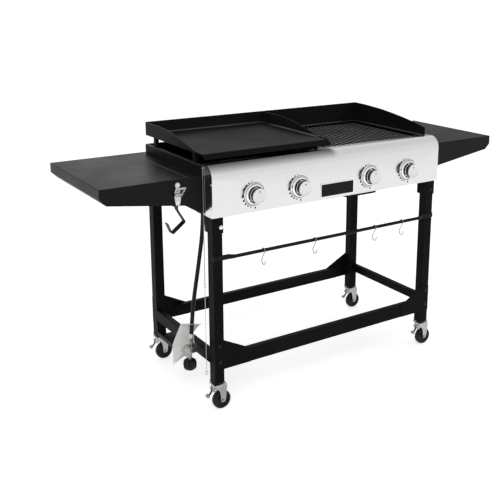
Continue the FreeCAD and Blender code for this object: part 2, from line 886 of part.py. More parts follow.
def casterFork(x, y):
    """A pressed fork with its square top plate and the axle riveted through it."""
    axleX = x + casterTrail
    half = wheelWidth / 2 + forkGap
    t = forkSheet
    side = casterPlate / 2
    top = forkTop - 4
    plate = box(x - side, x + side, y - side, y + side, top, forkTop - 0.4)
    cheek = [
        (x - 17, top), (x - 15, top - 11), (x + 1, top - 24), (x + 5, wheelRadius + 20),
        (axleX - 8, wheelRadius), (axleX - 5, wheelRadius - 7), (axleX + 6, wheelRadius - 7),
        (axleX + 10, wheelRadius), (x + 27, wheelRadius + 22), (x + 30, top - 8),
        (x + 28, top),
    ]
    face = panelFace(cheek, "XZ")
    cheeks = [
        extrude(face, "XZ", y - half - t, y - half),
        extrude(face, "XZ", y + half, y + half + t),
    ]
    bridge = box(x - 17, x + 28, y - half - t, y + half + t, top - 6, top)
    axle = rod((axleX, y - half - t - 1.5, wheelRadius), (axleX, y + half + t + 1.5, wheelRadius),
               axleRadius)
    shape = fuse([plate, bridge, axle] + cheeks)
    socket = rod((x, y, top - 5), (x, y, forkTop + 1), pinRadius + shaftClearance)
    return shape.cut(socket)


def casterWheel(x, y):
    """A solid tyre on a bored hub."""
    half = wheelWidth / 2
    axle = (x + casterTrail, y, wheelRadius)
    low, high = (axle[0], y - half, axle[2]), (axle[0], y + half, axle[2])
    return rod(low, high, wheelRadius).cut(rod(low, high, axleRadius + shaftClearance))


def brakePedal(x, y):
    """A lever hinged on the fork's leading edge, with a rounded foot tab."""
    hinge = (x - pedalX, pedalZ)
    points = [
        (hinge[0] - 2, hinge[1] - 1),
        (hinge[0] - 8, hinge[1] - 12),
        (hinge[0] - 19, hinge[1] - 18),
    ]
    lever = bentSheet(points, 1.8, "XZ", y - pedalHalf, y + pedalHalf, 0.5)
    barrel = hexBar(hinge[0], hinge[1], y - pedalHalf, y + pedalHalf, 3.6)
    foot = [(hinge[0] - 22 + 6.5 * math.cos(k * math.pi / 6),
             hinge[1] - 19 + 6.5 * math.sin(k * math.pi / 6)) for k in range(12)]
    tab = extrude(panelFace(foot, "XZ"), "XZ", y - pedalHalf, y + pedalHalf)
    eye = rod((hinge[0], y - pedalHalf - 1, hinge[1]), (hinge[0], y + pedalHalf + 1, hinge[1]),
              pedalPin + shaftClearance)
    return fuse([lever, barrel, tab]).cut(eye)


def pedalEars(x, y):
    """Ears that carry the pedal's pin in front of the fork."""
    hinge = (x - pedalX, pedalZ)
    near, far = pedalHalf + 0.4, wheelWidth / 2 + forkGap + forkSheet
    outline = [(x - 13, forkTop - 10), (x - 20, forkTop - 15), (hinge[0] - 4, hinge[1]),
               (hinge[0] - 3, hinge[1] - 4), (hinge[0] + 3, hinge[1] - 4),
               (x - 10, forkTop - 18)]
    face = panelFace(outline, "XZ")
    ears = [extrude(face, "XZ", y + way * near, y + way * far) for way in (-1, 1)]
    pin = rod((hinge[0], y - near - 1, hinge[1]), (hinge[0], y + near + 1, hinge[1]), pedalPin)
    return ears + [pin]


def knobBezel(x):
    """A turned ring on the panel that flares toward its foot."""
    profile = [
        (bezelHole, 0), (bezelRadius, 0), (bezelRadius - bezelFlare, bezelHeight),
        (bezelHole, bezelHeight),
    ]
    return revolved(profile, (x, panelFront, knobZ), (0, -1, 0), (1, 0, 0))


def knob(x):
    """A turned grip with a wider face and a raised pointer on a solid stem."""
    stand = pushTravel + 1.0
    skirt = bezelHeight + pushTravel + 1.0
    grip = rod((x, panelFront - stand, knobZ), (x, panelFront - skirt, knobZ), knobGripRadius)
    face = rod((x, panelFront - skirt, knobZ), (x, panelFront - knobReach + 1, knobZ),
               knobFaceRadius)
    stem = rod((x, panelFront - stand, knobZ), (x, valveFront + stemInside, knobZ), stemRadius)
    pointer = box(x - 2, x + 2, panelFront - knobReach, panelFront - knobReach + 6,
                  knobZ + 8, knobZ + knobFaceRadius - 4)
    return fuse([grip, face, pointer, stem])


def stemCollar(x):
    """The spring seat that slides with the stem but doesn't turn."""
    back = valveFront - pushTravel - 0.5
    seat = box(x - 8, x + 8, back - 5, back, knobZ - 8, knobZ + 8)
    bore = rod((x, back - 6, knobZ), (x, back + 1, knobZ), stemRadius + shaftClearance)
    return seat.cut(bore)


def flatRing(centre, axis, radius, wide, thick):
    """A flat twelve-sided ring about an axis, with a round hole."""
    axis = V(*axis)
    across = axis.cross(V(0, 0, 1))
    foot = V(*centre) - axis * (thick / 2)
    outer = radius + wide / 2
    corners = [foot + across * (outer * math.cos(k * math.pi / 6))
               + V(0, 0, outer * math.sin(k * math.pi / 6)) for k in range(12)]
    ring = Part.Face(Part.makePolygon(corners + corners[:1])).extrude(axis * thick)
    return ring.cut(Part.makeCylinder(radius - wide / 2, thick + 2, foot - axis, axis))


def matchChain(side):
    """The chain's outer form, from the screw eye down to its split ring."""
    x = side * chainX
    line = hexPrism(x, chainY, chainEnd + 8.8, chainTop - 3.2, chainRadius)
    eye = flatRing((x, chainY, chainTop), (1, 0, 0), 3.6, 1.6, 1.6)
    ring = flatRing((x, chainY, chainEnd + 4.6), (0, 1, 0), 4.6, 1.4, 1.4)
    return fuse([eye, line, ring])


def matchRod(side):
    """A stiff wire with a small eye at each end, hung in the chain's ring."""
    x = side * chainX
    eyeZ = chainEnd - 1.4
    eye = flatRing((x, chainY, eyeZ), (1, 0, 0), 3.4, 2.0, 1.4)
    wire = hexPrism(x, chainY, matchEnd + 10.6, eyeZ - 3.0, matchRadius)
    ring = flatRing((x, chainY, matchEnd + 5.5), (0, 1, 0), 5.5, 1.8, 1.8)
    return fuse([eye, wire, ring])


def hosePath():
    """Straight runs joined by tangent arcs, and the radii of those arcs."""
    points = [V(*p) for p in hoseRoute]
    edges, radii = [], []
    here = points[0]
    for before, corner, after in zip(points, points[1:], points[2:]):
        back, ahead = before - corner, after - corner
        reach = 0.45 * min(back.Length, ahead.Length)
        turn = math.pi - back.getAngle(ahead)
        radius = reach / math.tan(turn / 2)
        radii.append(radius)
        back.normalize()
        ahead.normalize()
        enter, leave = corner + back * reach, corner + ahead * reach
        middle = back + ahead
        middle.normalize()
        middle = corner + middle * (radius / math.cos(turn / 2) - radius)
        edges.append(Part.LineSegment(here, enter).toShape())
        edges.append(Part.Arc(enter, middle, leave).toShape())
        here = leave
    edges.append(Part.LineSegment(here, points[-1]).toShape())
    return edges, radii


def gasHose():
    edges, radii = hosePath()
    solid = wireSolid(edges, hoseRadius)
    run = sum(e.Length for e in edges)
    print("hose radii", [round(r) for r in radii], "length", round(run, 1))
    print("hose volume over section times length",
          round(solid.Volume / (math.pi * hoseRadius ** 2 * run), 4))
    return solid


def hung(shape):
    """Leans a shape that was made upright below the hose end along the hose's last run."""
    above, end = V(*hoseRoute[-2]), V(*hoseRoute[-1])
    run = above - end
    return shape.rotated(end, V(0, 1, 0), math.degrees(math.atan2(run.x, run.z)))


def regulator():
    """Ferrule, inlet stem, round body and vent cap, hanging on the hose end."""
    x, y, top = hoseRoute[-1]
    nutTop = top - nutDrop
    ferrule = rod((x, y, top), (x, y, top - ferruleLength), hoseRadius + 1.6)
    stem = hexPrism(x, y, nutTop, top - ferruleLength + 1, 6.5)
    spigot = rod((x, y, nutTop), (x, y, nutTop - spigotLength), spigotRadius)
    centre = V(x, y, top - 58)
    way = V(0.94, 0.34, 0)
    drum = Part.makeCylinder(drumRadius, 14, centre - way * 24, way)
    waist = Part.makeCylinder(9, 22, centre - way * 11, way)
    vent = Part.makeCylinder(ventRadius, 11, centre + way * 10, way)
    return hung(fuse([ferrule, stem, spigot, drum, waist, vent]))


def handNut():
    """The ribbed hand nut on the regulator's spigot, a barrel of twelve flats."""
    x, y, top = hoseRoute[-1]
    nutTop = top - nutDrop
    rings = []
    shoulder = nutRadius * 0.7
    for radius, drop in ((shoulder, 0.3), (nutRadius, 9), (nutRadius, nutHeight - 10),
                         (shoulder, nutHeight)):
        rings.append([V(x + radius * math.cos(k * math.pi / 6),
                        y + radius * math.sin(k * math.pi / 6), nutTop - drop)
                      for k in range(12)])
    faces = [Part.Face(Part.makePolygon(ring + ring[:1])) for ring in (rings[0], rings[-1])]
    for upper, lower in zip(rings, rings[1:]):
        for k in range(12):
            j = (k + 1) % 12
            corners = [upper[k], upper[j], lower[j], lower[k], upper[k]]
            faces.append(Part.Face(Part.makePolygon(corners)))
    body = Part.makeSolid(Part.makeShell(faces))
    bore = rod((x, y, nutTop + 1), (x, y, nutTop - nutHeight - 1), spigotRadius + shaftClearance)
    return hung(body.cut(bore))


def hoseTag():
    """A blank paper sheet, pushed over the hose end and hanging behind it."""
    x, y, top = hoseRoute[-1]
    points = [(-12, top + 38), (11, top + 31), (25, top - 26), (27, top - 130)]
    sheet = bentSheet(points, tagSheet, "YZ", -70, 45, 1.0)
    outline = [(-32, top + 43), (40, top + 43), (2, top - 8), (10, top - 66), (-67, top - 118),
               (-70, top - 52)]
    sheet = sheet.common(extrude(panelFace(outline, "XZ"), "XZ", -30, 60))
    sheet = sheet.rotated(V(0, 0, 0), V(0, 0, 1), tagTurn).translated(V(x, y, 0))
    return sheet.cut(rod(hoseRoute[-2], hoseRoute[-1], hoseRadius + tagSlack))


def bolt(point, axis, radius=5.5, head=3.6):
    """A six-sided head standing on a face."""
    way = V(*axis)
    across = way.cross(V(0, 0, 1))
    corners = [V(*point) + across * (radius * math.cos(k * math.pi / 3))
               + V(0, 0, 1) * (radius * math.sin(k * math.pi / 3)) for k in range(6)]
    return Part.Face(Part.makePolygon(corners + corners[:1])).extrude(way * head)


def fasteners():
    heads = []
    legX = legOuter - legSide / 2
    for side in (-1, 1):
        for front in (True, False):
            y = legFront if front else legBack
            way = -1 if front else 1
            heads.append(bolt((side * legX, y + way * bracketSheet, 653), (0, way, 0), 6, 4))
            for z in (238, 180):
                heads.append(bolt((side * legX, y + way * beamSheet, z), (0, way, 0)))
        heads.append(bolt((side * legX, legFront - rodFlatThickness, rodZ), (0, -1, 0), 5, 3))
        plate = fireHalf + panelPlate
        for z in (knobZ + 49, knobZ - 35):
            heads.append(bolt((side * plate, panelFront + 7, z), (side, 0, 0), 3.5, 1.5))
        heads.append(bolt((side * plate, chainY, chainTop), (side, 0, 0), 2.2, 6.5))
    for y, z in ((tankY, 738), (tankY, 712), (tankY + 22, 676)):
        heads.append(bolt((-fireHalf - tankHookSheet, y, z), (-1, 0, 0), 5, 3.5))
    return heads


def export(name, shapes):
    shape = shapes[0] if len(shapes) == 1 else Part.makeCompound(shapes)
    shape.exportStep("parts/%s.step" % name)


def build():
    os.makedirs("parts", exist_ok=True)
    corners = [(side, front) for front in (True, False) for side in (-1, 1)]
    export("firebox_pan", [fireboxPan()])
    export("firebox_sides", [fireboxSide(-1), fireboxSide(1)])
    export("centre_rail", [centreRail()])
    export("control_panel", [controlPanel()])
    export("gas_manifold", [gasManifold()])
    export("valve_bodies", [valveBody(x) for x in knobPlaces()])
    export("burners", [burner(x) for x in knobPlaces()])
    export("igniter_electrodes", [electrode(x) for x in knobPlaces()])
    export("flame_tamers", [flameTamer(x) for x in (knobInner, knobOuter)])
    export("grease_tray", [greaseTray()])
    export("griddle", [griddle()])
    export("windscreen", [windscreen()])
    export("grate_left", [grate(0)])
    export("grate_right", [grate(1)])
    export("shelf_left", [shelf(-1)])
    export("shelf_right", [shelf(1)])
    export("bottle_opener", [bottleOpener()])
    export("tank_hook", [tankHook()])
    export("tank_rest", [tankRest()])
    export("leg_brackets", [legBracket(*corner) for corner in corners])
    export("leg_frame_left", [legFrame(-1)])
    export("leg_frame_right", [legFrame(1)])
    export("leg_caps", [legCap(*corner) for corner in corners])
    export("front_beam", [endBeam(True)])
    export("rear_beam", [endBeam(False)])
    export("hook_rod", [hookRod()])
    for k, x in enumerate(hookPlaces):
        export("s_hook_%d" % (k + 1), [sHook(x)])
    names = ("front_left", "front_right", "rear_left", "rear_right")
    for name, corner in zip(names, corners):
        x, y = casterPlace(*corner)
        fork = fuse([casterFork(x, y)] + pedalEars(x, y))
        export("caster_fork_" + name, [fork])
        export("caster_wheel_" + name, [casterWheel(x, y)])
        export("brake_pedal_" + name, [brakePedal(x, y)])
    export("knob_bezels", [knobBezel(x) for x in knobPlaces()])
    for k, x in enumerate(knobPlaces()):
        export("knob_%d" % (k + 1), [knob(x)])
        export("stem_collar_%d" % (k + 1), [stemCollar(x)])
    for side, name in ((-1, "left"), (1, "right")):
        export("match_chain_" + name, [matchChain(side)])
        export("match_rod_" + name, [matchRod(side)])
    export("gas_hose", [gasHose()])
    export("regulator", [regulator()])
    export("hand_nut", [handNut()])
    export("hose_tag", [hoseTag()])
    export("fasteners", fasteners())


build()
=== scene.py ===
import cmath
import json
import math
import bmesh
import bpy
import numpy as np
from mathutils import Matrix, Vector


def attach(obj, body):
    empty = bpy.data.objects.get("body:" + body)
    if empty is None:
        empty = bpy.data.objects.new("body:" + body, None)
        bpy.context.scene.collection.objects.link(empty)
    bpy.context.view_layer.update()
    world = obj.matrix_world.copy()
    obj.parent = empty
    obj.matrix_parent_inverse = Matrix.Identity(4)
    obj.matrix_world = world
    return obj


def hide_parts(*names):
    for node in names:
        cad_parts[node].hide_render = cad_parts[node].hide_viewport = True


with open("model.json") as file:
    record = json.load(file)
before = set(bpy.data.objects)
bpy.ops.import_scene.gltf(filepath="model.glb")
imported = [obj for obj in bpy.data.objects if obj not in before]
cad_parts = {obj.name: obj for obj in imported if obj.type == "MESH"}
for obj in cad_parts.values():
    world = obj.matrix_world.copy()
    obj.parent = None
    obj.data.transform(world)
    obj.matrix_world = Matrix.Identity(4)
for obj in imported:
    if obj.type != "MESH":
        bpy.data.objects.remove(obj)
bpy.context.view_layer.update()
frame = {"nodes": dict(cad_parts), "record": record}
print("frame loaded:", len(frame["nodes"]), "nodes")

bodyOfNode = {node: body for body, nodes in frame["record"]["behaviour"]["bodies"].items()
              for node in nodes}
corners = ("front_left", "front_right", "rear_left", "rear_right")


def newObject(name, data):
    item = bpy.data.objects.new(name, data)
    bpy.context.scene.collection.objects.link(item)
    return item


# Camera, floor and lamps

cameraView = {
    "place": (-1.65505, -2.3954, 1.40831),
    "heading": 0.5979,        # turned from +Y toward +X, in radians
    "dip": 0.2372,            # below the horizon
    "roll": 0.0062,
    "lens": 57.37032, "sensor": 36.0,      # both in millimetres
    "shift": (-0.084, -0.1402), "farthest": 100.0,
}


def placeCamera():
    view = cameraView
    turn = (Matrix.Rotation(-view["heading"], 4, "Z")
            @ Matrix.Rotation(math.pi / 2 - view["dip"], 4, "X")
            @ Matrix.Rotation(view["roll"], 4, "Z"))
    lens = bpy.data.cameras.new("camera")
    lens.lens = view["lens"]
    lens.sensor_width = view["sensor"]
    lens.shift_x, lens.shift_y = view["shift"]
    lens.clip_end = view["farthest"]
    lens.dof.use_dof = False
    camera = newObject("camera", lens)
    camera.matrix_world = Matrix.Translation(view["place"]) @ turn
    bpy.context.scene.camera = camera


lamps = {
    "key": {"place": (-2.6, -3.2, 3.4), "aim": (0.0, 0.0, 0.7), "size": 2.4, "power": 60.0},
    "side": {"place": (3.2, -1.6, 2.4), "aim": (0.0, 0.0, 0.6), "size": 2.0, "power": 22.0},
    "rear": {"place": (0.5, 3.4, 3.0), "aim": (0.0, 0.0, 0.8), "size": 2.4, "power": 12.0},
}
# The studio is white. In reflections its ceiling and its far right corner are dimmer
studio = {
    "light": 0.62, "seen": 1.0, "ceiling": 0.85, "ceilingWay": (0.0, 0.0, 1.0),
    "ceilingStart": 0.3,      # sine of the height angle where it starts to dim
    "ceilingEnd": 0.85, "corner": 0.35, "cornerWay": (0.813, 0.582, 0.0),
    "cornerStart": 0.87,      # cosine of the angle off that way, as before
    "cornerEnd": 0.96,
}


def addLamps():
    for name, lamp in lamps.items():
        light = bpy.data.lights.new(name, "AREA")
        light.shape = "DISK"
        light.size = lamp["size"]
        light.energy = lamp["power"]
        lampObject = newObject(name, light)
        lampObject.visible_glossy = False
        place = Vector(lamp["place"])
        turn = (Vector(lamp["aim"]) - place).to_track_quat("-Z", "Y").to_matrix().to_4x4()
        lampObject.matrix_world = Matrix.Translation(place) @ turn


# A new node with its settings; each input is a value or another node's output
def addNode(tree, kind, output, inputs=None, **settings):
    node = tree.nodes.new(kind)
    for label, value in settings.items():
        setattr(node, label, value)
    for label, item in (inputs or {}).items():
        if isinstance(item, (float, tuple)):
            node.inputs[label].default_value = item
        else:
            tree.links.new(item, node.inputs[label])
    return node.outputs[output]


def mathOf(tree, operation, first, second):
    return addNode(tree, "ShaderNodeMath", 0, {0: first, 1: second}, operation=operation)


def vectorMathOf(tree, operation, output, first, second):
    return addNode(tree, "ShaderNodeVectorMath", output, {0: first, 1: second},
                   operation=operation)


def noiseOf(tree, vector, scale, detail, roughness=0.55):
    return addNode(tree, "ShaderNodeTexNoise", "Fac", {
        "Vector": vector, "Scale": scale, "Detail": detail, "Roughness": roughness})


# Goes from low to high while the value goes from the start to the end
def rangeOf(tree, value, low, high, start, end, shape="LINEAR"):
    return addNode(tree, "ShaderNodeMapRange", "Result", {
        "Value": value, "From Min": start, "From Max": end, "To Min": low, "To Max": high},
        interpolation_type=shape)


def mixColours(tree, mask, first, second):
    return addNode(tree, "ShaderNodeMix", 2, {"Factor": mask, 6: first, 7: second},
                   data_type="RGBA")


# One axis of the place on the object, or of the surface's own direction
def axisOf(tree, coordinate, axis):
    whole = addNode(tree, "ShaderNodeTexCoord", coordinate)
    return addNode(tree, "ShaderNodeSeparateXYZ", axis, {0: whole})


# One for rays from the camera, a reflection or a see-through surface, else zero
def seenDirectly(tree):
    camera, glossy, passing = (addNode(tree, "ShaderNodeLightPath", "Is %s Ray" % kind)
                               for kind in ("Camera", "Glossy", "Transmission"))
    return mathOf(tree, "MAXIMUM", camera, mathOf(tree, "MAXIMUM", glossy, passing))


def addWorld():
    world = bpy.data.worlds.new("studio")
    world.use_nodes = True
    bpy.context.scene.world = world
    tree = world.node_tree
    background = tree.nodes["Background"]
    background.inputs["Color"].default_value = (1, 1, 1, 1)
    way = addNode(tree, "ShaderNodeTexCoord", "Generated")
    dimmed = []
    for part in ("ceiling", "corner"):
        toward = vectorMathOf(tree, "DOT_PRODUCT", "Value", way, studio[part + "Way"])
        dimmed.append(rangeOf(tree, toward, studio["seen"], studio[part],
                              studio[part + "Start"], studio[part + "End"], "SMOOTHSTEP"))
    byCamera = addNode(tree, "ShaderNodeLightPath", "Is Camera Ray")
    whole = mathOf(tree, "MULTIPLY", byCamera, studio["seen"])
    seen = mathOf(tree, "MAXIMUM", mathOf(tree, "MINIMUM", *dimmed), whole)
    level = rangeOf(tree, seenDirectly(tree), studio["light"], seen, 0.0, 1.0)
    tree.links.new(level, background.inputs["Strength"])


# What is seen of the floor is lifted to white, and its soft shadow still shows
floorLook = {"half": 150.0, "tone": 0.8, "rough": 0.9, "lift": 0.55}


def addFloor():
    half = floorLook["half"]
    mesh = bpy.data.meshes.new("floor")
    mesh.from_pydata([(-half, -half, 0), (half, -half, 0), (half, half, 0), (-half, half, 0)],
                     [], [(0, 1, 2, 3)])
    floor = newObject("floor", mesh)
    material = bpy.data.materials.new("paleFloor")
    material.use_nodes = True
    tree = material.node_tree
    shader = tree.nodes["Principled BSDF"]
    shader.inputs["Base Color"].default_value = (*[floorLook["tone"]] * 3, 1)
    shader.inputs["Roughness"].default_value = floorLook["rough"]
    shader.inputs["Specular IOR Level"].default_value = 0.0
    shader.inputs["Emission Color"].default_value = (1, 1, 1, 1)
    lift = mathOf(tree, "MULTIPLY", seenDirectly(tree), floorLook["lift"])
    tree.links.new(lift, shader.inputs["Emission Strength"])
    mesh.materials.append(material)


placeCamera()
addLamps()
addWorld()
addFloor()
bpy.context.scene.view_settings.view_transform = "Standard"
print("camera, lamps and floor placed")


# Shader groups: tones, a grain, the relief's depth and two roughnesses go in

def newGroup(name, grainLabel, grainKind):
    tree = bpy.data.node_groups.new(name, "ShaderNodeTree")
    for label, kind in (("Light", "Color"), ("Dark", "Color"), (grainLabel, grainKind),
                        ("Depth", "Float"), ("Smooth", "Float"), ("Rough", "Float")):
        tree.interface.new_socket(label, in_out="INPUT", socket_type="NodeSocket" + kind)
    for label, kind in (("Color", "Color"), ("Roughness", "Float"), ("Normal", "Vector")):
        tree.interface.new_socket(label, in_out="OUTPUT", socket_type="NodeSocket" + kind)
    return tree, tree.nodes.new("NodeGroupInput").outputs


# Tones by one pattern and roughness by another, each between its start and its end, and relief
def fillGroup(tree, source, tones, wear, relief, height):
    mask = rangeOf(tree, tones[0], 0.0, 1.0, *tones[1])
    outputs = {
        "Color": mixColours(tree, mask, source["Dark"], source["Light"]),
        "Roughness": rangeOf(tree, wear[0], source["Smooth"], source["Rough"], *wear[1]),
        "Normal": addNode(tree, "ShaderNodeBump", "Normal", {
            "Height": relief, "Strength": source["Depth"], "Distance": height}),
    }
    sink = tree.nodes.new("NodeGroupOutput")
    for label, item in outputs.items():
        tree.links.new(item, sink.inputs[label])
    return tree


skin = {"fineDetail": 2.0, "broadScale": 7.0, "broadDetail": 5.0, "spread": (0.3, 0.7),
        "relief": 0.0002}


# Fine pebbled skin of paint or moulded plastic, with slow patches of more and less gloss
def makeSkinGroup():
    tree, source = newGroup("skinTexture", "Grain", "Float")
    place = addNode(tree, "ShaderNodeTexCoord", "Object")
    fine = noiseOf(tree, place, source["Grain"], skin["fineDetail"])
    broad = noiseOf(tree, place, skin["broadScale"], skin["broadDetail"])
    patches = (broad, skin["spread"])
    return fillGroup(tree, source, patches, patches, fine, skin["relief"])


brushed = {"lineDetail": 3.0, "patchScale": 5.0, "patchDetail": 3.0, "toneSpread": (0.25, 0.75),
           "wearSpread": (0.7, 1.3), "relief": 0.0001}


# Long scratches of a brushed finish, drawn out along one axis
def makeBrushedGroup():
    tree, source = newGroup("brushedGrain", "Stretch", "Vector")
    place = addNode(tree, "ShaderNodeTexCoord", "Object")
    stretched = vectorMathOf(tree, "MULTIPLY", 0, place, source["Stretch"])
    lines = noiseOf(tree, stretched, 1.0, brushed["lineDetail"])
    patches = noiseOf(tree, place, brushed["patchScale"], brushed["patchDetail"])
    both = mathOf(tree, "ADD", lines, patches)
    return fillGroup(tree, source, (lines, brushed["toneSpread"]),
                     (both, brushed["wearSpread"]), lines, brushed["relief"])


skinGroup = makeSkinGroup()
brushedGroup = makeBrushedGroup()


# The grain is a number for a skin, or the stretch along three axes for a brushed finish
def newMaterial(name, light, dark, grain, depth, smooth, rough, metallic=1.0, specular=0.5):
    material = bpy.data.materials.new(name)
    material.use_nodes = True
    tree = material.node_tree
    shader = tree.nodes["Principled BSDF"]
    shader.inputs["Metallic"].default_value = metallic
    shader.inputs["Specular IOR Level"].default_value = specular
    node = tree.nodes.new("ShaderNodeGroup")
    node.node_tree = brushedGroup if isinstance(grain, tuple) else skinGroup
    for socket, value in zip(node.inputs, (light, dark, grain, depth, smooth, rough)):
        socket.default_value = value
    for output, label in (("Color", "Base Color"), ("Roughness", "Roughness"),
                          ("Normal", "Normal")):
        tree.links.new(node.outputs[output], shader.inputs[label])
    return material


def colour(red, green, blue):
    return (red, green, blue, 1.0)


def grey(level, tint=0.0):
    return colour(level, level, level * (1.0 + tint))


# Light and dark tone, grain, depth of the relief, smooth and rough, and for any but a plain
# metal how metallic and how specular
looks = {
    "powderBlack": (grey(0.0075, 0.05), grey(0.005, 0.05), 1400.0, 0.25, 0.34, 0.44, 0.0, 0.1),
    "griddleSteel": (grey(0.011, 0.05), grey(0.008), 700.0, 0.15, 0.36, 0.46, 0.0, 0.03),
    "legBlack": (grey(0.0075, 0.05), grey(0.005, 0.05), 1400.0, 0.25, 0.34, 0.44, 0.0, 0.03),
    "screenBlack": (grey(0.0075, 0.05), grey(0.0055, 0.05), 1400.0, 0.25, 0.3, 0.4, 0.0, 0.03),
    # A lighter copy of the black paint: painted highlight on seams, edge beads and folds
    "highlightBlack": (grey(0.05), grey(0.02), 300.0, 0.3, 0.2, 0.34, 0.0, 0.4),
    "grateGloss": (grey(0.004), grey(0.002), 500.0, 0.4, 0.3, 0.42, 0.0, 0.03),
    "firePaint": (grey(0.006), grey(0.004), 500.0, 0.3, 0.5, 0.7, 0.0, 0.08),
    "stainless": (grey(0.71, -0.01), grey(0.65, -0.01), (2.0, 1400.0, 1400.0),
                  0.12, 0.15, 0.23),
    "satinPale": (grey(0.72), grey(0.6), (30.0, 900.0, 900.0), 0.08, 0.24, 0.34),
    "tubeSteel": (grey(0.4), grey(0.28, -0.1), (400.0, 6.0, 400.0), 0.2, 0.35, 0.5),
    "zincBright": (grey(0.62, -0.01), grey(0.46, -0.03), 300.0, 0.15, 0.2, 0.36),
    "zincDull": (grey(0.34, -0.02), grey(0.22, -0.04), 400.0, 0.3, 0.28, 0.45),
    "forkZinc": (grey(0.56, -0.01), grey(0.28, -0.03), 160.0, 0.4, 0.16, 0.4),
    "castZinc": (grey(0.5, -0.03), grey(0.3, -0.05), 600.0, 0.6, 0.34, 0.5),
    "brassDull": (colour(0.33, 0.31, 0.27), colour(0.2, 0.185, 0.16), 400.0,
                  0.2, 0.28, 0.42),
    "chromeBright": (grey(0.86), grey(0.78), 60.0, 0.03, 0.07, 0.14),
    # A dark copy of chrome: painted dark reflection on the knobs' grips and bases
    "chromeReflectionDark": (grey(0.03), grey(0.015), 60.0, 0.03, 0.16, 0.26, 0.5, 0.3),
    "glossBlack": (grey(0.006), grey(0.004), 200.0, 0.03, 0.16, 0.26, 0.0, 0.12),
    "mouldedBlack": (grey(0.008), grey(0.005), 800.0, 0.4, 0.34, 0.48, 0.0, 0.15),
    "ventPlastic": (colour(0.05, 0.056, 0.07), colour(0.034, 0.038, 0.05), 700.0,
                    0.2, 0.34, 0.48, 0.0, 0.5),
    "tyreRubber": (grey(0.008), grey(0.005), 500.0, 0.35, 0.3, 0.48, 0.0, 0.18),
    "hoseRubber": (grey(0.008), grey(0.005), 900.0, 0.2, 0.36, 0.46, 0.0, 0.15),
    "ceramicWhite": (colour(0.8, 0.77, 0.7), colour(0.72, 0.68, 0.6), 400.0,
                     0.1, 0.25, 0.4, 0.0, 0.5),
    "tagPaper": (colour(0.92, 0.92, 0.89), colour(0.6, 0.6, 0.59), (150.0, 150.0, 420.0),
                 0.3, 0.6, 0.8, 0.0, 0.5),
    "boltDark": (grey(0.008), grey(0.005), 700.0, 0.2, 0.26, 0.4, 0.0, 0.2),
    "markInk": (grey(0.014), grey(0.009), 900.0, 0.1, 0.45, 0.55, 0.0, 0.3),
}
finishes = {name: newMaterial(name, *row) for name, row in looks.items()}
print("materials made:", len(finishes))


# Another colour over a material's own one, where the mask is one
def layOver(tree, mask, over):
    base = tree.nodes["Principled BSDF"].inputs["Base Color"]
    tree.links.new(mixColours(tree, mask, base.links[0].from_socket, over), base)


# Painted highlight: the bars' upward faces are painted a lighter grey, by the height of the
# surface's own direction
barTopLight = {"start": 0.75, "full": 0.95, "light": 0.24, "dark": 0.13}


def paintBarHighlights():
    tree = finishes["grateGloss"].node_tree
    mask = rangeOf(tree, axisOf(tree, "Normal", "Z"), 0.0, 1.0, barTopLight["start"],
                   barTopLight["full"])
    litTop = tree.nodes.new("ShaderNodeGroup")
    litTop.node_tree = skinGroup
    litTop.inputs["Light"].default_value = grey(barTopLight["light"])
    litTop.inputs["Dark"].default_value = grey(barTopLight["dark"])
    layOver(tree, mask, litTop.outputs["Color"])


# Painted shade: the griddle's front slope is painted darker than its floor, by its depth in the
# object
slopeShade = {"start": -0.168, "end": -0.158, "tone": 0.0015}


def paintSlopeShade():
    tree = finishes["griddleSteel"].node_tree
    mask = rangeOf(tree, axisOf(tree, "Object", "Y"), 1.0, 0.0, slopeShade["start"], slopeShade["end"])
    layOver(tree, mask, grey(slopeShade["tone"]))


# Painted shade and painted reflection of the griddle on the panel's rolled edge: darkest at the
# top, it fades down the roll and ends beside the griddle
panelShade = {"top": 0.858, "foot": 0.826, "fall": 1.6, "side": 0.006, "blur": 0.012, "full": 0.96,
         "tone": 0.012}


def paintPanelShade():
    material = finishes["stainless"].copy()
    material.name = "panelShadeSteel"
    finishes["panelShadeSteel"] = material
    tree = material.node_tree
    down = rangeOf(tree, axisOf(tree, "Object", "Z"), 0.0, 1.0, panelShade["foot"], panelShade["top"])
    fall = mathOf(tree, "POWER", down, panelShade["fall"])
    beside = rangeOf(tree, axisOf(tree, "Object", "X"), 1.0, 0.0,
                     panelShade["side"] - panelShade["blur"], panelShade["side"] + panelShade["blur"])
    mask = mathOf(tree, "MULTIPLY", mathOf(tree, "MULTIPLY", fall, beside), panelShade["full"])
    layOver(tree, mask, grey(panelShade["tone"]))


paintBarHighlights()
paintSlopeShade()
paintPanelShade()


# Meshes from arrays, worked out in the CAD's millimetres and set in metres

millimetre = 0.001
merge = {"newPiece": 0.000002, "cadNode": 0.00002}
flatAngle = math.radians(1.0)
bevelAngle = math.radians(32.0)


# Quads between neighbouring rows and columns of a grid of points
def gridFaces(rows, columns, wrapRows=False, wrapColumns=True):
    row = np.arange(rows if wrapRows else rows - 1)[:, None]
    column = np.arange(columns if wrapColumns else columns - 1)[None, :]
    below, beside = (row + 1) % rows, (column + 1) % columns
    around = (row * columns + column, row * columns + beside,
              below * columns + beside, below * columns + column)
    return np.stack(np.broadcast_arrays(*around), axis=-1).reshape(-1, 4)


# Unit directions along an axis and to two sides of it
def framed(axis):
    ahead = np.array(axis, float) / np.linalg.norm(axis)
    side = np.cross(ahead, (0.0, 0.0, 1.0) if abs(ahead[2]) < 0.9 else (0.0, 1.0, 0.0))
    side /= np.linalg.norm(side)
    return ahead, side, np.cross(ahead, side)


def fullTurn(steps):
    return np.linspace(0.0, 2 * math.pi, steps, endpoint=False)


# Cosine and sine side by side
def onCircle(turn):
    return np.stack([np.cos(turn), np.sin(turn)], axis=-1)


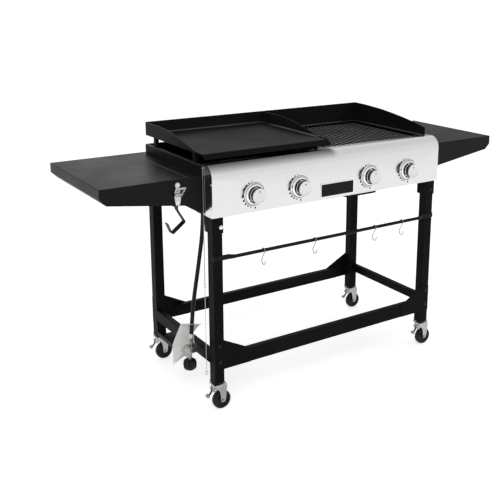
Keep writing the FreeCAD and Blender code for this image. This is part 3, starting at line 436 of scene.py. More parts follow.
# A profile of radius and height turned round an axis:
# point = origin + height * axis + radius * (cos(turn) * side + sin(turn) * other).
# A ring's profile closes on itself, any other one closes on the axis.
# Ripples take depth * (0.5 - 0.5 * cos(count * turn)) off the radius of some rows.
def turned(finish, profile, origin, axis, segments, ring=False, ripple=None):
    ahead, side, other = framed(axis)
    profile = np.array(profile, float)
    if not ring:
        profile = np.vstack([(0.0, profile[0, 1]), profile, (0.0, profile[-1, 1])])
    turn = fullTurn(segments)
    radius = np.repeat(profile[:, :1], segments, axis=1)
    if ripple:
        first, last, deep, count = ripple
        radius[first:last] -= deep * (0.5 - 0.5 * np.cos(count * turn))
    points = (np.array(origin, float) + profile[:, 1, None, None] * ahead
              + (radius * np.cos(turn))[..., None] * side
              + (radius * np.sin(turn))[..., None] * other)
    return finish, points.reshape(-1, 3), gridFaces(len(profile), segments, ring)


# The parts of a table that its rows name, each with its finish, profile and segments
def turnedRows(table, rows, origin, axis, ring=False):
    return [turned(finish, table[part], origin, axis, segments, ring, table.get(part + "Ripple"))
            for finish, part, segments in table[rows]]


# A round wire along a path in one plane, open with half balls as ends or closed:
# point = path + radius * (cos(turn) * across + sin(turn) * normal)
def wire(finish, path, radius, normal, sides=10, closed=False):
    path, normal = np.array(path, float), np.array(normal, float)
    ahead = (np.roll(path, -1, axis=0) - np.roll(path, 1, axis=0) if closed
             else np.gradient(path, axis=0))
    ahead /= np.linalg.norm(ahead, axis=1, keepdims=True)
    thick = np.full(len(path), float(radius))
    if not closed:
        swing = np.radians((90.0, 60.0, 30.0))
        nose = radius * np.sin(swing)[:, None]
        path = np.vstack([path[0] - nose * ahead[0], path, path[-1] + nose[::-1] * ahead[-1]])
        ahead = np.vstack([ahead[:1]] * 3 + [ahead] + [ahead[-1:]] * 3)
        thick = np.concatenate([radius * np.cos(swing), thick, radius * np.cos(swing[::-1])])
    across = np.cross(ahead, normal)
    turn = fullTurn(sides)[None, :, None]
    points = path[:, None] + thick[:, None, None] * (np.cos(turn) * across[:, None]
                                                     + np.sin(turn) * normal)
    return finish, points.reshape(-1, 3), gridFaces(len(path), sides, closed)


# A ring of wire: its path is centre + radius * (cos(turn) * side + sin(turn) * other)
def wireRing(finish, centre, axis, radius, thick, steps=28):
    ahead, side, other = framed(axis)
    turn = fullTurn(steps)[:, None]
    path = np.array(centre, float) + radius * (np.cos(turn) * side + np.sin(turn) * other)
    return wire(finish, path, thick, ahead, closed=True)


# Points of an outline at a place, laid in two directions and moved out of their plane
def laid(outline, origin, across, up, level):
    outline, across, up = (np.array(item, float) for item in (outline, across, up))
    return (np.array(origin, float) + outline[:, :1] * across + outline[:, 1:] * up
            + level * np.cross(across, up))


# A flat plate: an outline drawn out from a low to a high face
def plate(finish, outline, origin, across, up, low, high):
    count = len(outline)
    near = np.arange(count)
    after = (near + 1) % count
    walls = np.stack([near, after, after + count, near + count], axis=-1)
    points = [laid(outline, origin, across, up, level) for level in (low, high)]
    return finish, np.vstack(points), walls.tolist() + [near.tolist(), (near + count).tolist()]


# A flat frame between an outer and an inner outline of as many points
def flatFrame(finish, outer, inner, origin, across, up, low, high):
    rows = ((outer, low), (outer, high), (inner, high), (inner, low))
    points = [laid(outline, origin, across, up, level) for outline, level in rows]
    return finish, np.vstack(points), gridFaces(4, len(outer), wrapRows=True)


# A rectangle with round corners: each corner's centre + radius * (cos(turn), sin(turn))
def roundRectangle(low, high, radius, steps=5):
    near, far = np.array(low) + radius, np.array(high) - radius
    centres = np.array([(far[0], far[1]), (near[0], far[1]), (near[0], near[1]),
                        (far[0], near[1])])
    turn = np.linspace(0.0, math.pi / 2, steps) + np.arange(4)[:, None] * math.pi / 2
    return (centres[:, None] + radius * onCircle(turn)).reshape(-1, 2)


# A stadium turned by an angle: a round rectangle whose corners all but meet at its ends
def stadium(centre, long, wide, angle, cornerShare=0.49):
    outline = roundRectangle((-long / 2, -wide / 2), (long / 2, wide / 2), wide * cornerShare)
    turn = np.array([(math.cos(angle), math.sin(angle)), (-math.sin(angle), math.cos(angle))])
    return outline @ turn + np.array(centre)


def straight(start, end, count=6):
    start, end = np.array(start), np.array(end)
    return start + (end - start) * np.linspace(0, 1, count)[:, None]


# Merges doubles, and either joins flat faces or turns the faces outward
def cleanMesh(mesh, distance, flatten=False, outward=False):
    work = bmesh.new()
    work.from_mesh(mesh)
    bmesh.ops.remove_doubles(work, verts=work.verts, dist=distance)
    if flatten:
        bmesh.ops.dissolve_limit(work, angle_limit=flatAngle, verts=work.verts, edges=work.edges)
    if outward:
        bmesh.ops.recalc_face_normals(work, faces=work.faces)
    work.to_mesh(mesh)
    work.free()


# Shades a mesh smooth up to an angle, rounds its edges and sets it on a body
def setPiece(mesh, body, replaced, edge, smooth):
    mesh.polygons.foreach_set("use_smooth", np.ones(len(mesh.polygons), dtype=bool))
    mesh.set_sharp_from_angle(angle=math.radians(smooth))
    piece = newObject(mesh.name, mesh)
    if edge > 0:
        bevel = piece.modifiers.new("roundedEdges", "BEVEL")
        bevel.width = edge
        bevel.segments = 2
        bevel.limit_method = "ANGLE"
        bevel.angle_limit = bevelAngle
        bevel.use_clamp_overlap = True
    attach(piece, body)
    if replaced:
        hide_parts(*replaced)
    return piece


# Joins the parts, each a finish with its points and faces, to one piece on a body
def addPiece(name, body, parts, replaced=(), edge=0.0, smooth=40.0, closed=True):
    used = list(dict.fromkeys(part[0] for part in parts))
    faces, finishOf, start = [], [], 0
    for finish, points, partFaces in parts:
        rows = partFaces.tolist() if hasattr(partFaces, "tolist") else partFaces
        faces += [[corner + start for corner in row] for row in rows]
        finishOf += [used.index(finish)] * len(rows)
        start += len(points)
    mesh = bpy.data.meshes.new(name)
    mesh.from_pydata(np.vstack([part[1] * millimetre for part in parts]), [], faces)
    mesh.polygons.foreach_set("material_index", finishOf)
    for finish in used:
        mesh.materials.append(finishes[finish])
    cleanMesh(mesh, merge["newPiece"], outward=closed)
    return setPiece(mesh, body, replaced, edge, smooth)


# A piece in place of the CAD node of the same name
def replaceNode(node, body, parts, **options):
    return addPiece(node + "_finished", body, parts, replaced=[node], **options)


# A clean copy of a CAD node: doubles merged, flat faces joined, edges rounded a little
def finishedCopy(node, finish, edge, smooth=32.0):
    mesh = frame["nodes"][node].data.copy()
    mesh.name = node + "_finished"
    cleanMesh(mesh, merge["cadNode"], flatten=True)
    mesh.materials.clear()
    mesh.materials.append(finishes[finish])
    setPiece(mesh, bodyOfNode[node], [node], edge, smooth)


# Finish and edge radius of each CAD node that is carried over
carried = {
    "firebox_pan": ("firePaint", 0), "firebox_sides": ("legBlack", 0.0005),
    # The control panel's steel carries the painted shade of the griddle on its rolled edge
    "centre_rail": ("powderBlack", 0.0004), "control_panel": ("panelShadeSteel", 0.0004),
    "gas_manifold": ("zincBright", 0.0005), "valve_bodies": ("castZinc", 0.0006),
    "burners": ("tubeSteel", 0), "igniter_electrodes": ("ceramicWhite", 0.0003),
    "flame_tamers": ("firePaint", 0.0003), "grease_tray": ("powderBlack", 0.0004),
    "griddle": ("griddleSteel", 0.0006), "windscreen": ("screenBlack", 0.0005),
    "grate_left": ("grateGloss", 0.0012), "grate_right": ("grateGloss", 0.0012),
    "shelf_left": ("powderBlack", 0.0004), "shelf_right": ("powderBlack", 0.0004),
    "tank_hook": ("powderBlack", 0.0006), "tank_rest": ("powderBlack", 0.0005),
    "leg_brackets": ("legBlack", 0.0005), "leg_frame_left": ("legBlack", 0.0008),
    "leg_frame_right": ("legBlack", 0.0008), "leg_caps": ("mouldedBlack", 0.0005),
    "front_beam": ("legBlack", 0.0005), "rear_beam": ("legBlack", 0.0005),
    "hook_rod": ("powderBlack", 0.0006),
}
for number in range(1, 5):
    carried["stem_collar_%d" % number] = ("zincBright", 0.0003)
for corner in corners:
    carried["caster_fork_" + corner] = ("forkZinc", 0.0006)

for node, (finish, edge) in carried.items():
    finishedCopy(node, finish, edge)
print("carried nodes finished:", len(carried))


panelPlane = -238
outward = (0, -1, 0)
rightward = (1, 0, 0)
leftward = (-1, 0, 0)
upward = (0, 0, 1)
downward = (0, 0, -1)
hexagonSides = 6


# Weld seams in the inner corners of griddle and windscreen, beads along the walls' top edges,
# and a fold line in each shelf, in a black lighter than the sheets': a painted highlight on them

seams = {
    "sink": 0.3,              # how far a bead's flat sides lie inside the sheets
    "steps": 6, "sides": 8, "rimEnds": (-176, 266),
    # across, height and radius of the lines on the firebox rims and in the shelves
    "rims": ((488.9, 849.3, 0.9), (543.8, 819, 0.6)),
}
# The walls' inner faces, half of the sheet, radii of the hollow beads and of the edge beads, and
# depth and height along the side walls' top edges
plateWalls = {
    "left": -484, "right": 12, "back": 268, "foot": 885, "front": -112, "half": 1,
    "radius": 4.6, "edge": 1.12, "arcSteps": 14,
    "top": ((269, 930), (150, 930), (62, 922.7), (-20, 908), (-118, 888)),
}
screenWalls = {
    "left": 15, "right": 484.5, "back": 268.5, "foot": 851.5, "front": -160, "half": 0.75,
    "radius": 3.2, "edge": 0.86, "arcSteps": 30, "seamTop": 926,
    "top": ((269.4, 930), (40, 917), (-164, 884.2)),
}


# Between two sheets: the outline runs in from the corner, round a hollow quarter circle
# radius * (1 - sin(turn), 1 - cos(turn)) and back along the other sheet
def cove(corner, inward, up, length, radius, finish="highlightBlack"):
    turn = np.linspace(0, math.pi / 2, seams["steps"])
    hollow = radius * (1 - onCircle(turn)[:, ::-1])
    sink = seams["sink"]
    outline = np.vstack([[(-sink, -sink), (hollow[0, 0], -sink)], hollow,
                         [(-sink, hollow[-1, 1])]])
    return plate(finish, outline, corner, inward, up, 0, length)


def bead(path, radius, normal):
    return wire("highlightBlack", path, radius, normal, seams["sides"])


# centre + radius * (cos(turn), sin(turn))
def arc(centre, radius, start, end, steps):
    return np.array(centre) + radius * onCircle(np.linspace(start, end, steps))


# An arc through three points, told by depth and height, at a place across
def arcThrough(places, across, count):
    first, second, third = (complex(*place) for place in places)
    ratio = (third - first) / (second - first)
    centre = (second - first) * (ratio - abs(ratio) ** 2) / (2j * ratio.imag) + first
    swing = [cmath.phase(place - centre) for place in (first, third)]
    line = arc((centre.real, centre.imag), abs(first - centre), *swing, count)
    return np.column_stack([np.full(count, across), line])


# Hollow beads along the foot of the rear wall and of the right wall
def footSeams(walls):
    left, right, back, foot = (walls[part] for part in ("left", "right", "back", "foot"))
    front, radius = walls["front"], walls["radius"]
    return [cove((right, back, foot), outward, upward, right - left, radius),
            cove((right, front, foot), leftward, upward, back - front, radius)]


# The bead along the top edge of the rear wall
def rearBead(walls):
    depth, height = walls["back"] + walls["half"], walls["top"][0][1] - walls["edge"]
    path = straight((walls["left"], depth, height), (walls["right"], depth, height))
    return bead(path, walls["edge"], upward)


def griddleSeams(walls):
    left, right, back, half = (walls[part] for part in ("left", "right", "back", "half"))
    parts = footSeams(walls) + [cove((left, back, walls["foot"]), rightward, upward,
                                     back - walls["front"], walls["radius"])]
    rear, shoulder, bend, knee, toe = walls["top"]
    for across in (left - half, right + half):
        path = np.vstack([straight((across, *rear), (across, *shoulder))[:-1],
                          arcThrough((shoulder, bend, knee), across, walls["arcSteps"]),
                          straight((across, *knee), (across, *toe))[1:]])
        parts.append(bead(path - (0, 0, walls["edge"]), walls["edge"], rightward))
    return parts + [rearBead(walls)]


def stationSeams(walls):
    right, back, foot, edge = (walls[part] for part in ("right", "back", "foot", "edge"))
    path = arcThrough(walls["top"], right + walls["half"], walls["arcSteps"])
    parts = footSeams(walls) + [
        cove((right, back, foot), leftward, outward, walls["seamTop"] - foot, walls["radius"],
             "screenBlack"),
        bead(path - (0, 0, edge), edge, rightward), rearBead(walls)]
    near, far = seams["rimEnds"]
    for side in (-1, 1):
        for across, height, radius in seams["rims"]:
            path = straight((side * across, near, height), (side * across, far, height))
            parts.append(bead(path, radius, upward))
    return parts


addPiece("griddle_seams", "griddle", griddleSeams(plateWalls))
addPiece("sheet_seams", "station", stationSeams(screenWalls))
print("seams laid")


# Knobs: a chrome neck, a ribbed grip and base in a dark copy of chrome that is a painted
# reflection, and a pale brushed face with one dot

knobHeight = 749
knobMiddles = [np.array((across, panelPlane, knobHeight)) for across in (-335, -153, 153, 335)]

knob = {
    "stem": ((3.6, -35.5), (4, -35), (4, 4.6)),
    "base": ((20.4, 4.1), (21.2, 4.6), (21.6, 5.6), (22.4, 12.4)),
    "neck": ((22, 12.2), (22.8, 12.6), (24, 14.6), (24.8, 15.6), (24.8, 16.4), (24, 17)),
    "grip": ((23.8, 16.6), (24.2, 17.4), (24.6, 20), (24.8, 26), (24.8, 31), (24.2, 32)),
    "gripRipple": (2, 6, 0.7, 40),
    "face": ((24.4, 31.8), (25.3, 32.3), (25.8, 33.1), (25.8, 34.3), (25.2, 35.3), (24, 35.8),
             (22.9, 35.7), (21.9, 35.2), (14, 35.5), (5, 35.8)),
    "dotHeight": 15,
    "dot": ((2.3, 35), (2.3, 36), (1.9, 36.3)), "dotSteps": 16,
    "rows": (("zincBright", "stem", 24), ("chromeReflectionDark", "base", 80), ("chromeBright", "neck", 80),
             ("chromeReflectionDark", "grip", 240), ("satinPale", "face", 80)),
}

for number, middle in enumerate(knobMiddles, start=1):
    node, dotPlace = "knob_%d" % number, middle + (0, 0, knob["dotHeight"])
    dot = turned("markInk", knob["dot"], dotPlace, outward, knob["dotSteps"])
    replaceNode(node, node, turnedRows(knob, "rows", middle, outward) + [dot], smooth=35)


# Bezels: a stepped chrome ring that flares to its foot, with a black liner inside it, and two
# black rings of painted shade at its foot and in its step

bezel = {
    "ring": ((25.2, 0), (38.6, 0), (39, 0.6), (38.2, 2.2), (37, 2.6), (36.2, 4.5), (35.6, 5.2),
             (34.5, 8.6), (33.6, 9.2), (32.4, 11.2), (31, 12), (29.4, 12), (28.6, 11.2),
             (28.2, 9), (28, 4)),
    "liner": ((23.8, 0.2), (28.1, 0.2), (28.4, 9.2), (28, 10.2), (26, 9), (24.6, 3)),
    # Two thin black rings: painted shadow round the bezel's foot and painted shade in its step
    "footShadowRing": ((30, 0.05), (39.9, 0.05), (40, 0.3), (39.8, 0.7), (30, 0.7)),
    "stepShadowRing": ((34, 5), (36.3, 5), (36.5, 5.3), (36.1, 6), (34, 6)),
    "rows": (("chromeBright", "ring", 96), ("mouldedBlack", "liner", 96),
             ("mouldedBlack", "footShadowRing", 96), ("mouldedBlack", "stepShadowRing", 96)),
}

replaceNode("knob_bezels", "station", [
    part for middle in knobMiddles for part in turnedRows(bezel, "rows", middle, outward, True)],
    smooth=30)
print("knobs and bezels made")


# Printed dial round each knob: dots and dashes that grow, and a small flame-like wedge

dial = {
    "radius": 44.2,
    # angle from the top toward the right in degrees, length along the circle, width
    "strokes": ((348.6, 4.8, 2.8), (333, 7, 4.2), (316.7, 9, 5.2), (297.3, 10, 6.4),
                (246.4, 7.4, 6.6), (228.6, 7.4, 6), (213, 6.2, 4.8), (197.6, 5.4, 3.2)),
    "stopAngle": 175.5, "stopRadius": 47, "stopSize": 6.4, "wedgeAngle": 269.7,
    "wedge": ((-5.6, -7), (-1.8, -6.2), (1.8, -6.2), (5.6, -7), (3.4, -0.5), (0.6, 7), (-0.6, 7),
              (-3.4, -0.5)),
    "film": 0.12, "sink": 0.05,
}


def dialPlace(clock, radius):
    turn = math.radians(clock)
    return radius * np.array((math.sin(turn), math.cos(turn)))


size = dial["stopSize"]
outlines = [stadium(dialPlace(clock, dial["radius"]), long, wide, -math.radians(clock))
            for clock, long, wide in dial["strokes"]]
outlines.append(stadium(dialPlace(dial["stopAngle"], dial["stopRadius"]), size, size, 0))
outlines.append(np.array(dial["wedge"]) + dialPlace(dial["wedgeAngle"], dial["radius"]))
addPiece("dial_marks", "station", [
    plate("markInk", outline, middle, rightward, upward, -dial["sink"], dial["film"])
    for middle in knobMiddles for outline in outlines])


# Badge plate, left blank: a black face in a thin bright rim

badge = {
    "low": (-66, 697), "high": (80, 746), "corner": 3, "rim": 2.6, "rimHeight": 2.8,
    "faceHeight": 1.4, "innerCorner": 0.8, "sink": 0.1,
}

low, high = np.array(badge["low"]), np.array(badge["high"])
outer = roundRectangle(low, high, badge["corner"])
inner = roundRectangle(low + badge["rim"], high - badge["rim"], badge["innerCorner"])
panelOrigin = (0, panelPlane, 0)
addPiece("badge_plate", "station", [
    flatFrame("chromeBright", outer, inner, panelOrigin, rightward, upward, -badge["sink"],
              badge["rimHeight"]),
    plate("glossBlack", inner, panelOrigin, rightward, upward, -badge["sink"],
          badge["faceHeight"]),
], edge=0.0005)
print("dials and badge made")


# S-hooks: round wire bent over the rod and round a larger lower loop

sHooks = {
    "places": (-298, -85, 187, 319), "wireRadius": 1.5,
    # depth, height and radius of the bends, and the open ends' angles
    "upper": (-235, 547.8, 8), "lower": (-235, 508.8, 11),
    "firstAngle": math.radians(-18), "lastAngle": math.radians(-200),
    "tangent": (0.2, 0.8, 4),      # from and to which share of it, and how many points
    "steps": (26, 30),
}


# Two arcs joined by their inner tangent
def sHookPath():
    (*top, topRadius), (*foot, footRadius) = sHooks["upper"], sHooks["lower"]
    lean = math.asin((topRadius + footRadius) / (top[1] - foot[1]))
    upper = arc(top, topRadius, sHooks["firstAngle"], math.pi + lean, sHooks["steps"][0])
    lower = arc(foot, footRadius, lean, sHooks["lastAngle"], sHooks["steps"][1])
    between = upper[-1] + (lower[0] - upper[-1]) * np.linspace(*sHooks["tangent"])[:, None]
    return np.vstack([upper, between, lower])


hookLine = sHookPath()
for number, across in enumerate(sHooks["places"], start=1):
    node = "s_hook_%d" % number
    path = np.column_stack([np.full(len(hookLine), across), hookLine])
    replaceNode(node, node, [wire("zincDull", path, sHooks["wireRadius"], rightward)],
                smooth=60)


# Match holders: a bead chain between two rings, and a wire between two more

holder = {
    "across": 494, "back": -182,
    "beads": (450, 841, 4.6),      # lowest height, end and pitch
    "beadSteps": 8,
    "bead": ((0.6, -1.75), (1.4, -1.3), (1.9, -0.5), (1.9, 0.5), (1.4, 1.3), (0.6, 1.75)),
    # radius and sides of the straight wires
    "link": (0.5, 6), "rod": (1, 10), "steps": 12,
    # height and radius of the rings, and their wire's radius
    "eye": (845, 3.6, 0.8), "split": (444.6, 4.6, 0.7), "rodEye": (438.6, 3.4, 0.8),
    "rodEnd": (129.5, 5.5, 0.9),
}


# A straight wire between an upper ring that faces sideways and a lower one that faces forward
def hungWire(place, kind, upper, lower):
    upper, lower = holder[upper], holder[lower]
    line = straight((*place, lower[0] + lower[1]), (*place, upper[0] - upper[1]),
                    holder["steps"])
    radius, sides = holder[kind]
    return [wire("zincBright", line, radius, rightward, sides),
            wireRing("zincBright", (*place, upper[0]), rightward, *upper[1:]),
            wireRing("zincBright", (*place, lower[0]), outward, *lower[1:])]


for side, name in ((-1, "left"), (1, "right")):
    place = (side * holder["across"], holder["back"])
    beads = [turned("zincDull", holder["bead"], (*place, height), upward,
                    holder["beadSteps"]) for height in np.arange(*holder["beads"])]
    chain, rod = "match_chain_" + name, "match_rod_" + name
    replaceNode(chain, chain, beads + hungWire(place, "link", "eye", "split"), smooth=60)
    replaceNode(rod, rod, hungWire(place, "rod", "rodEye", "rodEnd"), smooth=60)
print("hooks and match holders made")


# Casters: tyre and webbed hub, swivel race over the fork, axle nuts and the pedal's roller

caster = {
    "across": 467, "front": -207, "rear": 250, "trail": 14, "axleHeight": 33,
    "tyre": ((23.2, -8.6), (24.2, -9.6), (26, -10.3), (29, -10.3), (31.2, -9.2), (32.4, -7.2),
             (32.9, -4), (33, 0)),
    "hub": ((3.05, -10.4), (7.4, -10.4), (8.2, -9.8), (8.6, -7.2), (9.6, -6.4), (18.8, -6),
            (20.4, -6.8), (21, -8.9), (22, -9.5), (23.5, -9.3), (23.5, 0)),
    "race": ((5.1, 86.8), (16.8, 86.8), (18.8, 87.6), (19.4, 89.4), (18.6, 91.4), (16, 93),
             (13, 93.9), (5.1, 93.9)),
    "nut": ((5.4, 14.1), (5.6, 14.6), (5.6, 16.6), (4.8, 17.4)),
    # across from the swivel, and height
    "hinge": (-19, 76),
    "barrel": ((1.6, -6), (3.3, -6), (3.6, -5.6), (3.6, 5.6), (3.3, 6), (1.6, 6)),
    "roller": ((5.2, -6), (6.2, -5), (6.2, 5), (5.2, 6)),
    "rollerPlace": (-38, 57.5),
    "lever": ((-20.6, 73.2), (-24.4, 65.4), (-30, 59.6), (-37, 56.2), (-38.4, 58.6),
              (-32.2, 62.4), (-27.2, 67.6), (-22.6, 77)),
    "leverHalf": 3, "wheelSteps": 72, "raceSteps": 56, "barrelSteps": 24, "rollerSteps": 28,
}


# A half profile and its mirror image on the other side of the wheel
def bothSides(profile):
    half = np.array(profile, float)
    mirrored = half[::-1] * (1, -1)
    return np.vstack([half, mirrored[1:]] if half[-1, 1] == 0 else [half, mirrored])


for corner in corners:
    across = caster["across"] * (1 if corner.endswith("right") else -1)
    along = caster["front"] if corner.startswith("front") else caster["rear"]
    swivel = (across, along, 0)
    axle = (across + caster["trail"], along, caster["axleHeight"])
    hinge, roller = ((across + caster[part][0], along, caster[part][1])
                     for part in ("hinge", "rollerPlace"))
    wheel, pedal, half = "caster_wheel_" + corner, "brake_pedal_" + corner, caster["leverHalf"]
    replaceNode(wheel, wheel, [
        turned(finish, bothSides(caster[part]), axle, outward, caster["wheelSteps"], ring=True)
        for finish, part in (("tyreRubber", "tyre"), ("mouldedBlack", "hub"))])
    addPiece("caster_trim_" + corner, "caster_fork_" + corner, [
        turned("zincBright", caster["race"], swivel, upward, caster["raceSteps"], ring=True),
        turned("zincDull", caster["nut"], axle, outward, hexagonSides),
        turned("zincDull", caster["nut"], axle, (0, 1, 0), hexagonSides),
    ], smooth=30)
    replaceNode(pedal, pedal, [
        turned("zincDull", caster["barrel"], hinge, outward, caster["barrelSteps"], ring=True),
        plate("boltDark", caster["lever"], swivel, rightward, upward, -half, half),
        turned("zincDull", caster["roller"], roller, outward, caster["rollerSteps"]),
    ], edge=0.0004)
print("casters made")


# Bolts and screws: a hexagon or a dome, most of them on a washer

bolts = {
    "washer": ((6.8, 0), (7.2, 0.3), (7.2, 0.9), (6.8, 1.2)),
    "hexagon": ((6, 1), (6, 3.6), (5.2, 4.2)),
    "small": ((4.9, 0), (5.2, 0.3), (5.2, 2.4), (4.4, 3)),
    "dome": ((6.4, 1), (6.3, 1.8), (5.4, 3), (3.6, 3.9), (1.6, 4.2)),
    "panel": ((3.5, 0), (3.4, 0.6), (2.6, 1.2), (1.2, 1.5)),
    "eye": ((3.4, 0), (3.4, 0.8), (1.4, 1), (1.4, 6.1), (2, 6.3), (2, 6.5)),
    "legAcross": 467, "legFront": -225, "legRear": 268, "plate": 491, "wall": -492.5,
    "domeShift": 12,
    # height on the legs, and distance off their faces
    "legRows": ((652, 2.5), (238, 2), (180, 2)),
    # depth and height
    "rodEnd": (-229, 548),
    "plateRows": (("chromeBright", "panel", (-231, 798)), ("chromeBright", "panel", (-231, 714)),
                  ("zincBright", "eye", (-182, 845))),
    "wallRows": ((23, 738), (23, 712), (45, 676)),
    "steps": {"washer": 32, "dome": 28, "panel": 20, "eye": 16},
}


def bolt(finish, head, place, axis):
    return turned(finish, bolts[head], place, axis, bolts["steps"].get(head, hexagonSides))


# The front left leg has a chromed dome at its top, and the other legs have a hexagon
def boltParts():
    parts = []
    for side in (-1, 1):
        leg = side * bolts["legAcross"]
        for face, way in ((bolts["legFront"], -1), (bolts["legRear"], 1)):
            for row, (height, away) in enumerate(bolts["legRows"]):
                domed = (side, way, row) == (-1, -1, 0)
                place = (leg + domed * bolts["domeShift"], face + way * away, height)
                parts += [bolt("chromeBright" if domed else "boltDark", head, place, (0, way, 0))
                          for head in ("washer", "dome" if domed else "hexagon")]
        parts.append(bolt("boltDark", "small", (leg, *bolts["rodEnd"]), outward))
        parts += [bolt(finish, head, (side * bolts["plate"], *place), (side, 0, 0))
                  for finish, head, place in bolts["plateRows"]]
    return parts + [bolt("zincDull", "small", (bolts["wall"], *place), leftward)
                    for place in bolts["wallRows"]]


replaceNode("fasteners", "station", boltParts(), smooth=30)


# Bottle opener: an ear and a tongue on the shelf's front, and a slanted ring for the bottle cap

opener = {
    "across": -583, "wall": -178, "height": 765, "sheet": 3.6,
    "tongue": ((-5, -31), (5, -31), (7.6, -27.5), (11.2, -5), (11.2, 9), (6, 26), (5, 36),
               (-5, 36), (-6, 26), (-11.2, 9), (-11.2, -5), (-7.6, -27.5)),
    "ear": ((8.6, 0), (9, 0.4), (9, 3.2), (8.4, 3.8)),
    "screwHeights": (35, -20),
    "screw": ((5.4, 3.4), (5.2, 4.4), (4, 5.4), (2, 6)),
    "earSteps": 40, "screwSteps": 28, "mouthFoot": -4,
    # half width, start, end and corner radius
    "mouth": (14.2, 0, 49, 3.5), "hole": (10.2, 13, 41, 2.5), "slant": (0, -0.681, 0.732),
    "mouthSheet": 3.2,
}

openerFoot = np.array((opener["across"], opener["wall"], opener["height"]))
mouth, hole = (roundRectangle((-half, start), (half, end), radius)
               for half, start, end, radius in (opener["mouth"], opener["hole"]))
mouthOrigin = openerFoot + (0, -opener["sheet"], opener["mouthFoot"])
screws = [openerFoot + (0, 0, height) for height in opener["screwHeights"]]
replaceNode("bottle_opener", "station", [
    plate("zincBright", opener["tongue"], openerFoot, rightward, upward, 0, opener["sheet"]),
    turned("zincBright", opener["ear"], screws[0], outward, opener["earSteps"]),
    *[turned("chromeBright", opener["screw"], place, outward, opener["screwSteps"])
      for place in screws],
    flatFrame("zincBright", mouth, hole, mouthOrigin, rightward, opener["slant"],
              -opener["mouthSheet"], 0),
], edge=0.0006, smooth=35)
print("bolts and bottle opener made")


# Regulator, its hand nut and the paper tag, all measured down from the hose end

hoseEnd = np.array((-515.5, -117, 256))
hoseLean = math.radians(4.289)      # the hose's last run leans by this much toward +X

regulator = {
    "drop": 58, "way": (0.94, 0.34, 0),
    "ferrule": ((7.6, 0), (8.4, 0.5), (8.6, 1.2), (8.6, 3.4), (7.9, 4), (7.9, 5.4), (8.6, 6),
                (8.6, 8.6), (7.9, 9.2), (7.9, 10.6), (8.6, 11.2), (8.6, 15), (7.8, 16)),
    "collar": ((5, 15.5), (5, 20.5)),
    "hexagon": ((6.4, 20), (7.2, 20.8), (7.2, 29.2), (6.4, 30)),
    "pipe": ((5.6, 29.5), (5.6, 78)),
    "lowerHexagon": ((6.2, 77), (7, 77.8), (7, 87.2), (6.2, 88)),
    "spigot": ((5, 87.5), (5, 93), (6, 93.6), (6, 127), (5, 128)),
    "drum": ((10, -22.6), (11.5, -24), (13, -24), (14.2, -22.4), (17.2, -22.4), (18.2, -23.6),
             (19.8, -23.6), (20.8, -22.6), (21, -21.4), (21, -18.4), (20.2, -17.9), (20.2, -16.6),
             (21, -16.1), (21, -12.2), (20, -10.6), (14, -9.6), (9.6, -8), (9, -6), (9, 10.6)),
    "drumScrew": ((2.2, -24.6), (2.4, -24.2), (2.4, -21)),
    "screwCircle": 15.7,
    "vent": ((15, 10.2), (15.8, 10.8), (16, 11.8), (16, 18.6), (15.4, 20), (13.8, 20.8),
             (12.4, 20.8), (11.6, 20)),
    "ventRipple": (3, 5, 0.6, 36), "screwSteps": 12,
    # finish, profile and segments, from the hose end down
    "stem": (("zincBright", "ferrule", 40), ("brassDull", "collar", 24),
             ("brassDull", "hexagon", hexagonSides), ("castZinc", "pipe", 28),
             ("castZinc", "lowerHexagon", hexagonSides), ("zincBright", "spigot", 28)),
    "head": (("castZinc", "drum", 64), ("ventPlastic", "vent", 72)),
}

handNut = {
    "drop": 94,
    "profile": ((6.06, 0.3), (15.6, 0.3), (17.6, 0.9), (20.2, 3.2), (22.8, 7.4), (24, 11.6),
                (24, 22), (23, 27), (20.4, 31.6), (17.8, 34.4), (15.4, 35.8), (6.06, 35.8)),
    "ripple": (2, 10, 3.6, 8), "segments": 128,
}


# Turns a part about the hose end, in the plane of X and Z, onto the line of its last run
def leaned(part):
    finish, points, faces = part
    cosine, sine = math.cos(hoseLean), math.sin(hoseLean)
    turn = np.array([(cosine, 0, -sine), (0, 1, 0), (sine, 0, cosine)])
    return finish, (points - hoseEnd) @ turn + hoseEnd, faces


drumCentre = hoseEnd - (0, 0, regulator["drop"])
drumWay, drumSide, drumOther = framed(regulator["way"])
parts = turnedRows(regulator, "stem", hoseEnd, downward)
parts += turnedRows(regulator, "head", drumCentre, drumWay)
for cosine, sine in onCircle(math.pi / 4 + fullTurn(4)):
    place = drumCentre + regulator["screwCircle"] * (cosine * drumSide + sine * drumOther)
    parts.append(turned("zincBright", regulator["drumScrew"], place, drumWay,
                        regulator["screwSteps"]))
replaceNode("regulator", "station", [leaned(part) for part in parts], smooth=32)
replaceNode("hand_nut", "hand_nut", [leaned(
    turned("mouldedBlack", handNut["profile"], hoseEnd - (0, 0, handNut["drop"]), downward,
           handNut["segments"], ring=True, ripple=handNut["ripple"]))], smooth=50)

tag = {
    "left": ((-68, -127), (-69, -52), (-34, 38)),     # X and height of the edges
    "right": ((-68, -127), (10, -66), (2, -8), (36, 38)),
    "fall": ((24, -127), (25, -26), (11, 31), (-12, 38)),   # depth and height
    "turn": math.radians(-34), "curl": 3, "thickness": 0.0005, "rows": 44,
    "columns": 24, "ends": (37.9, -126.9),
    # the height where the sheet begins to be loose, and the length over which it becomes so
    "loose": (20, 60),
    # waves along the height and across, and a second one with its share
    "wave": (0.045, 5), "skewWave": (0.9, 3.1, 0.02),
}


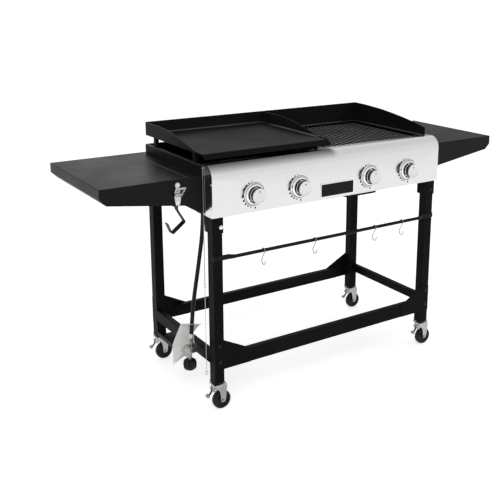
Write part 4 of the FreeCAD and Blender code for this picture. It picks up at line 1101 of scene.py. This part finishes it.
# Each height runs from the left edge to the right one at the fall's depth, plus two waves
# that grow downward: curl * (sin(height) * cos(across) + share * sin(across + height)).
# The whole sheet is turned about the hose
def makeTag():
    height = np.linspace(*tag["ends"], tag["rows"])[:, None]
    across = np.linspace(0, 1, tag["columns"])[None, :]
    left, right, deep = (np.interp(height, [row[1] for row in tag[part]],
                                   [row[0] for row in tag[part]])
                         for part in ("left", "right", "fall"))
    side = left + (right - left) * across
    free = np.clip((tag["loose"][0] - height) / tag["loose"][1], 0, 1)
    along, over = tag["wave"]
    share, skewOver, skewAlong = tag["skewWave"]
    deep = deep + free * tag["curl"] * (np.sin(height * along) * np.cos(across * over)
                                        + share * np.sin(across * skewOver
                                                         + height * skewAlong))
    cosine, sine = math.cos(tag["turn"]), math.sin(tag["turn"])
    points = np.stack([side * cosine - deep * sine, side * sine + deep * cosine,
                       np.broadcast_to(height, side.shape)], axis=-1) + hoseEnd
    faces = gridFaces(tag["rows"], tag["columns"], wrapColumns=False)
    piece = replaceNode("hose_tag", "station", [("tagPaper", points.reshape(-1, 3), faces)],
                        smooth=60, closed=False)
    wall = piece.modifiers.new("paperThickness", "SOLIDIFY")
    wall.thickness = tag["thickness"]
    wall.offset = 0


makeTag()
print("regulator, hand nut and tag made")


# Gas hose, a free tube from the inlet nut down to the regulator's ferrule

hose = {
    "route": ((-0.471, -0.134, 0.7), (-0.471, -0.134, 0.632), (-0.489, -0.129, 0.5),
              (-0.504, -0.12, 0.385), (-0.511, -0.117, 0.316), (-0.5155, -0.117, 0.256)),
    "diameter": 0.014, "length": 0.447, "roundness": 6, "steps": 12,
}

curve = bpy.data.curves.new("gasHoseLine", "CURVE")
curve.dimensions = "3D"
curve.bevel_depth = hose["diameter"] / 2
curve.bevel_resolution = hose["roundness"]
curve.resolution_u = hose["steps"]
curve.use_fill_caps = True
curve.materials.append(finishes["hoseRubber"])
spline = curve.splines.new("NURBS")
spline.points.add(len(hose["route"]) - 1)
for point, place in zip(spline.points, hose["route"]):
    point.co = (*place, 1)
spline.order_u = 3
spline.use_endpoint_u = True
hosePiece = newObject("gasHoseLine", curve)
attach(hosePiece, "station")
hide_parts("gas_hose")
print("hose laid")
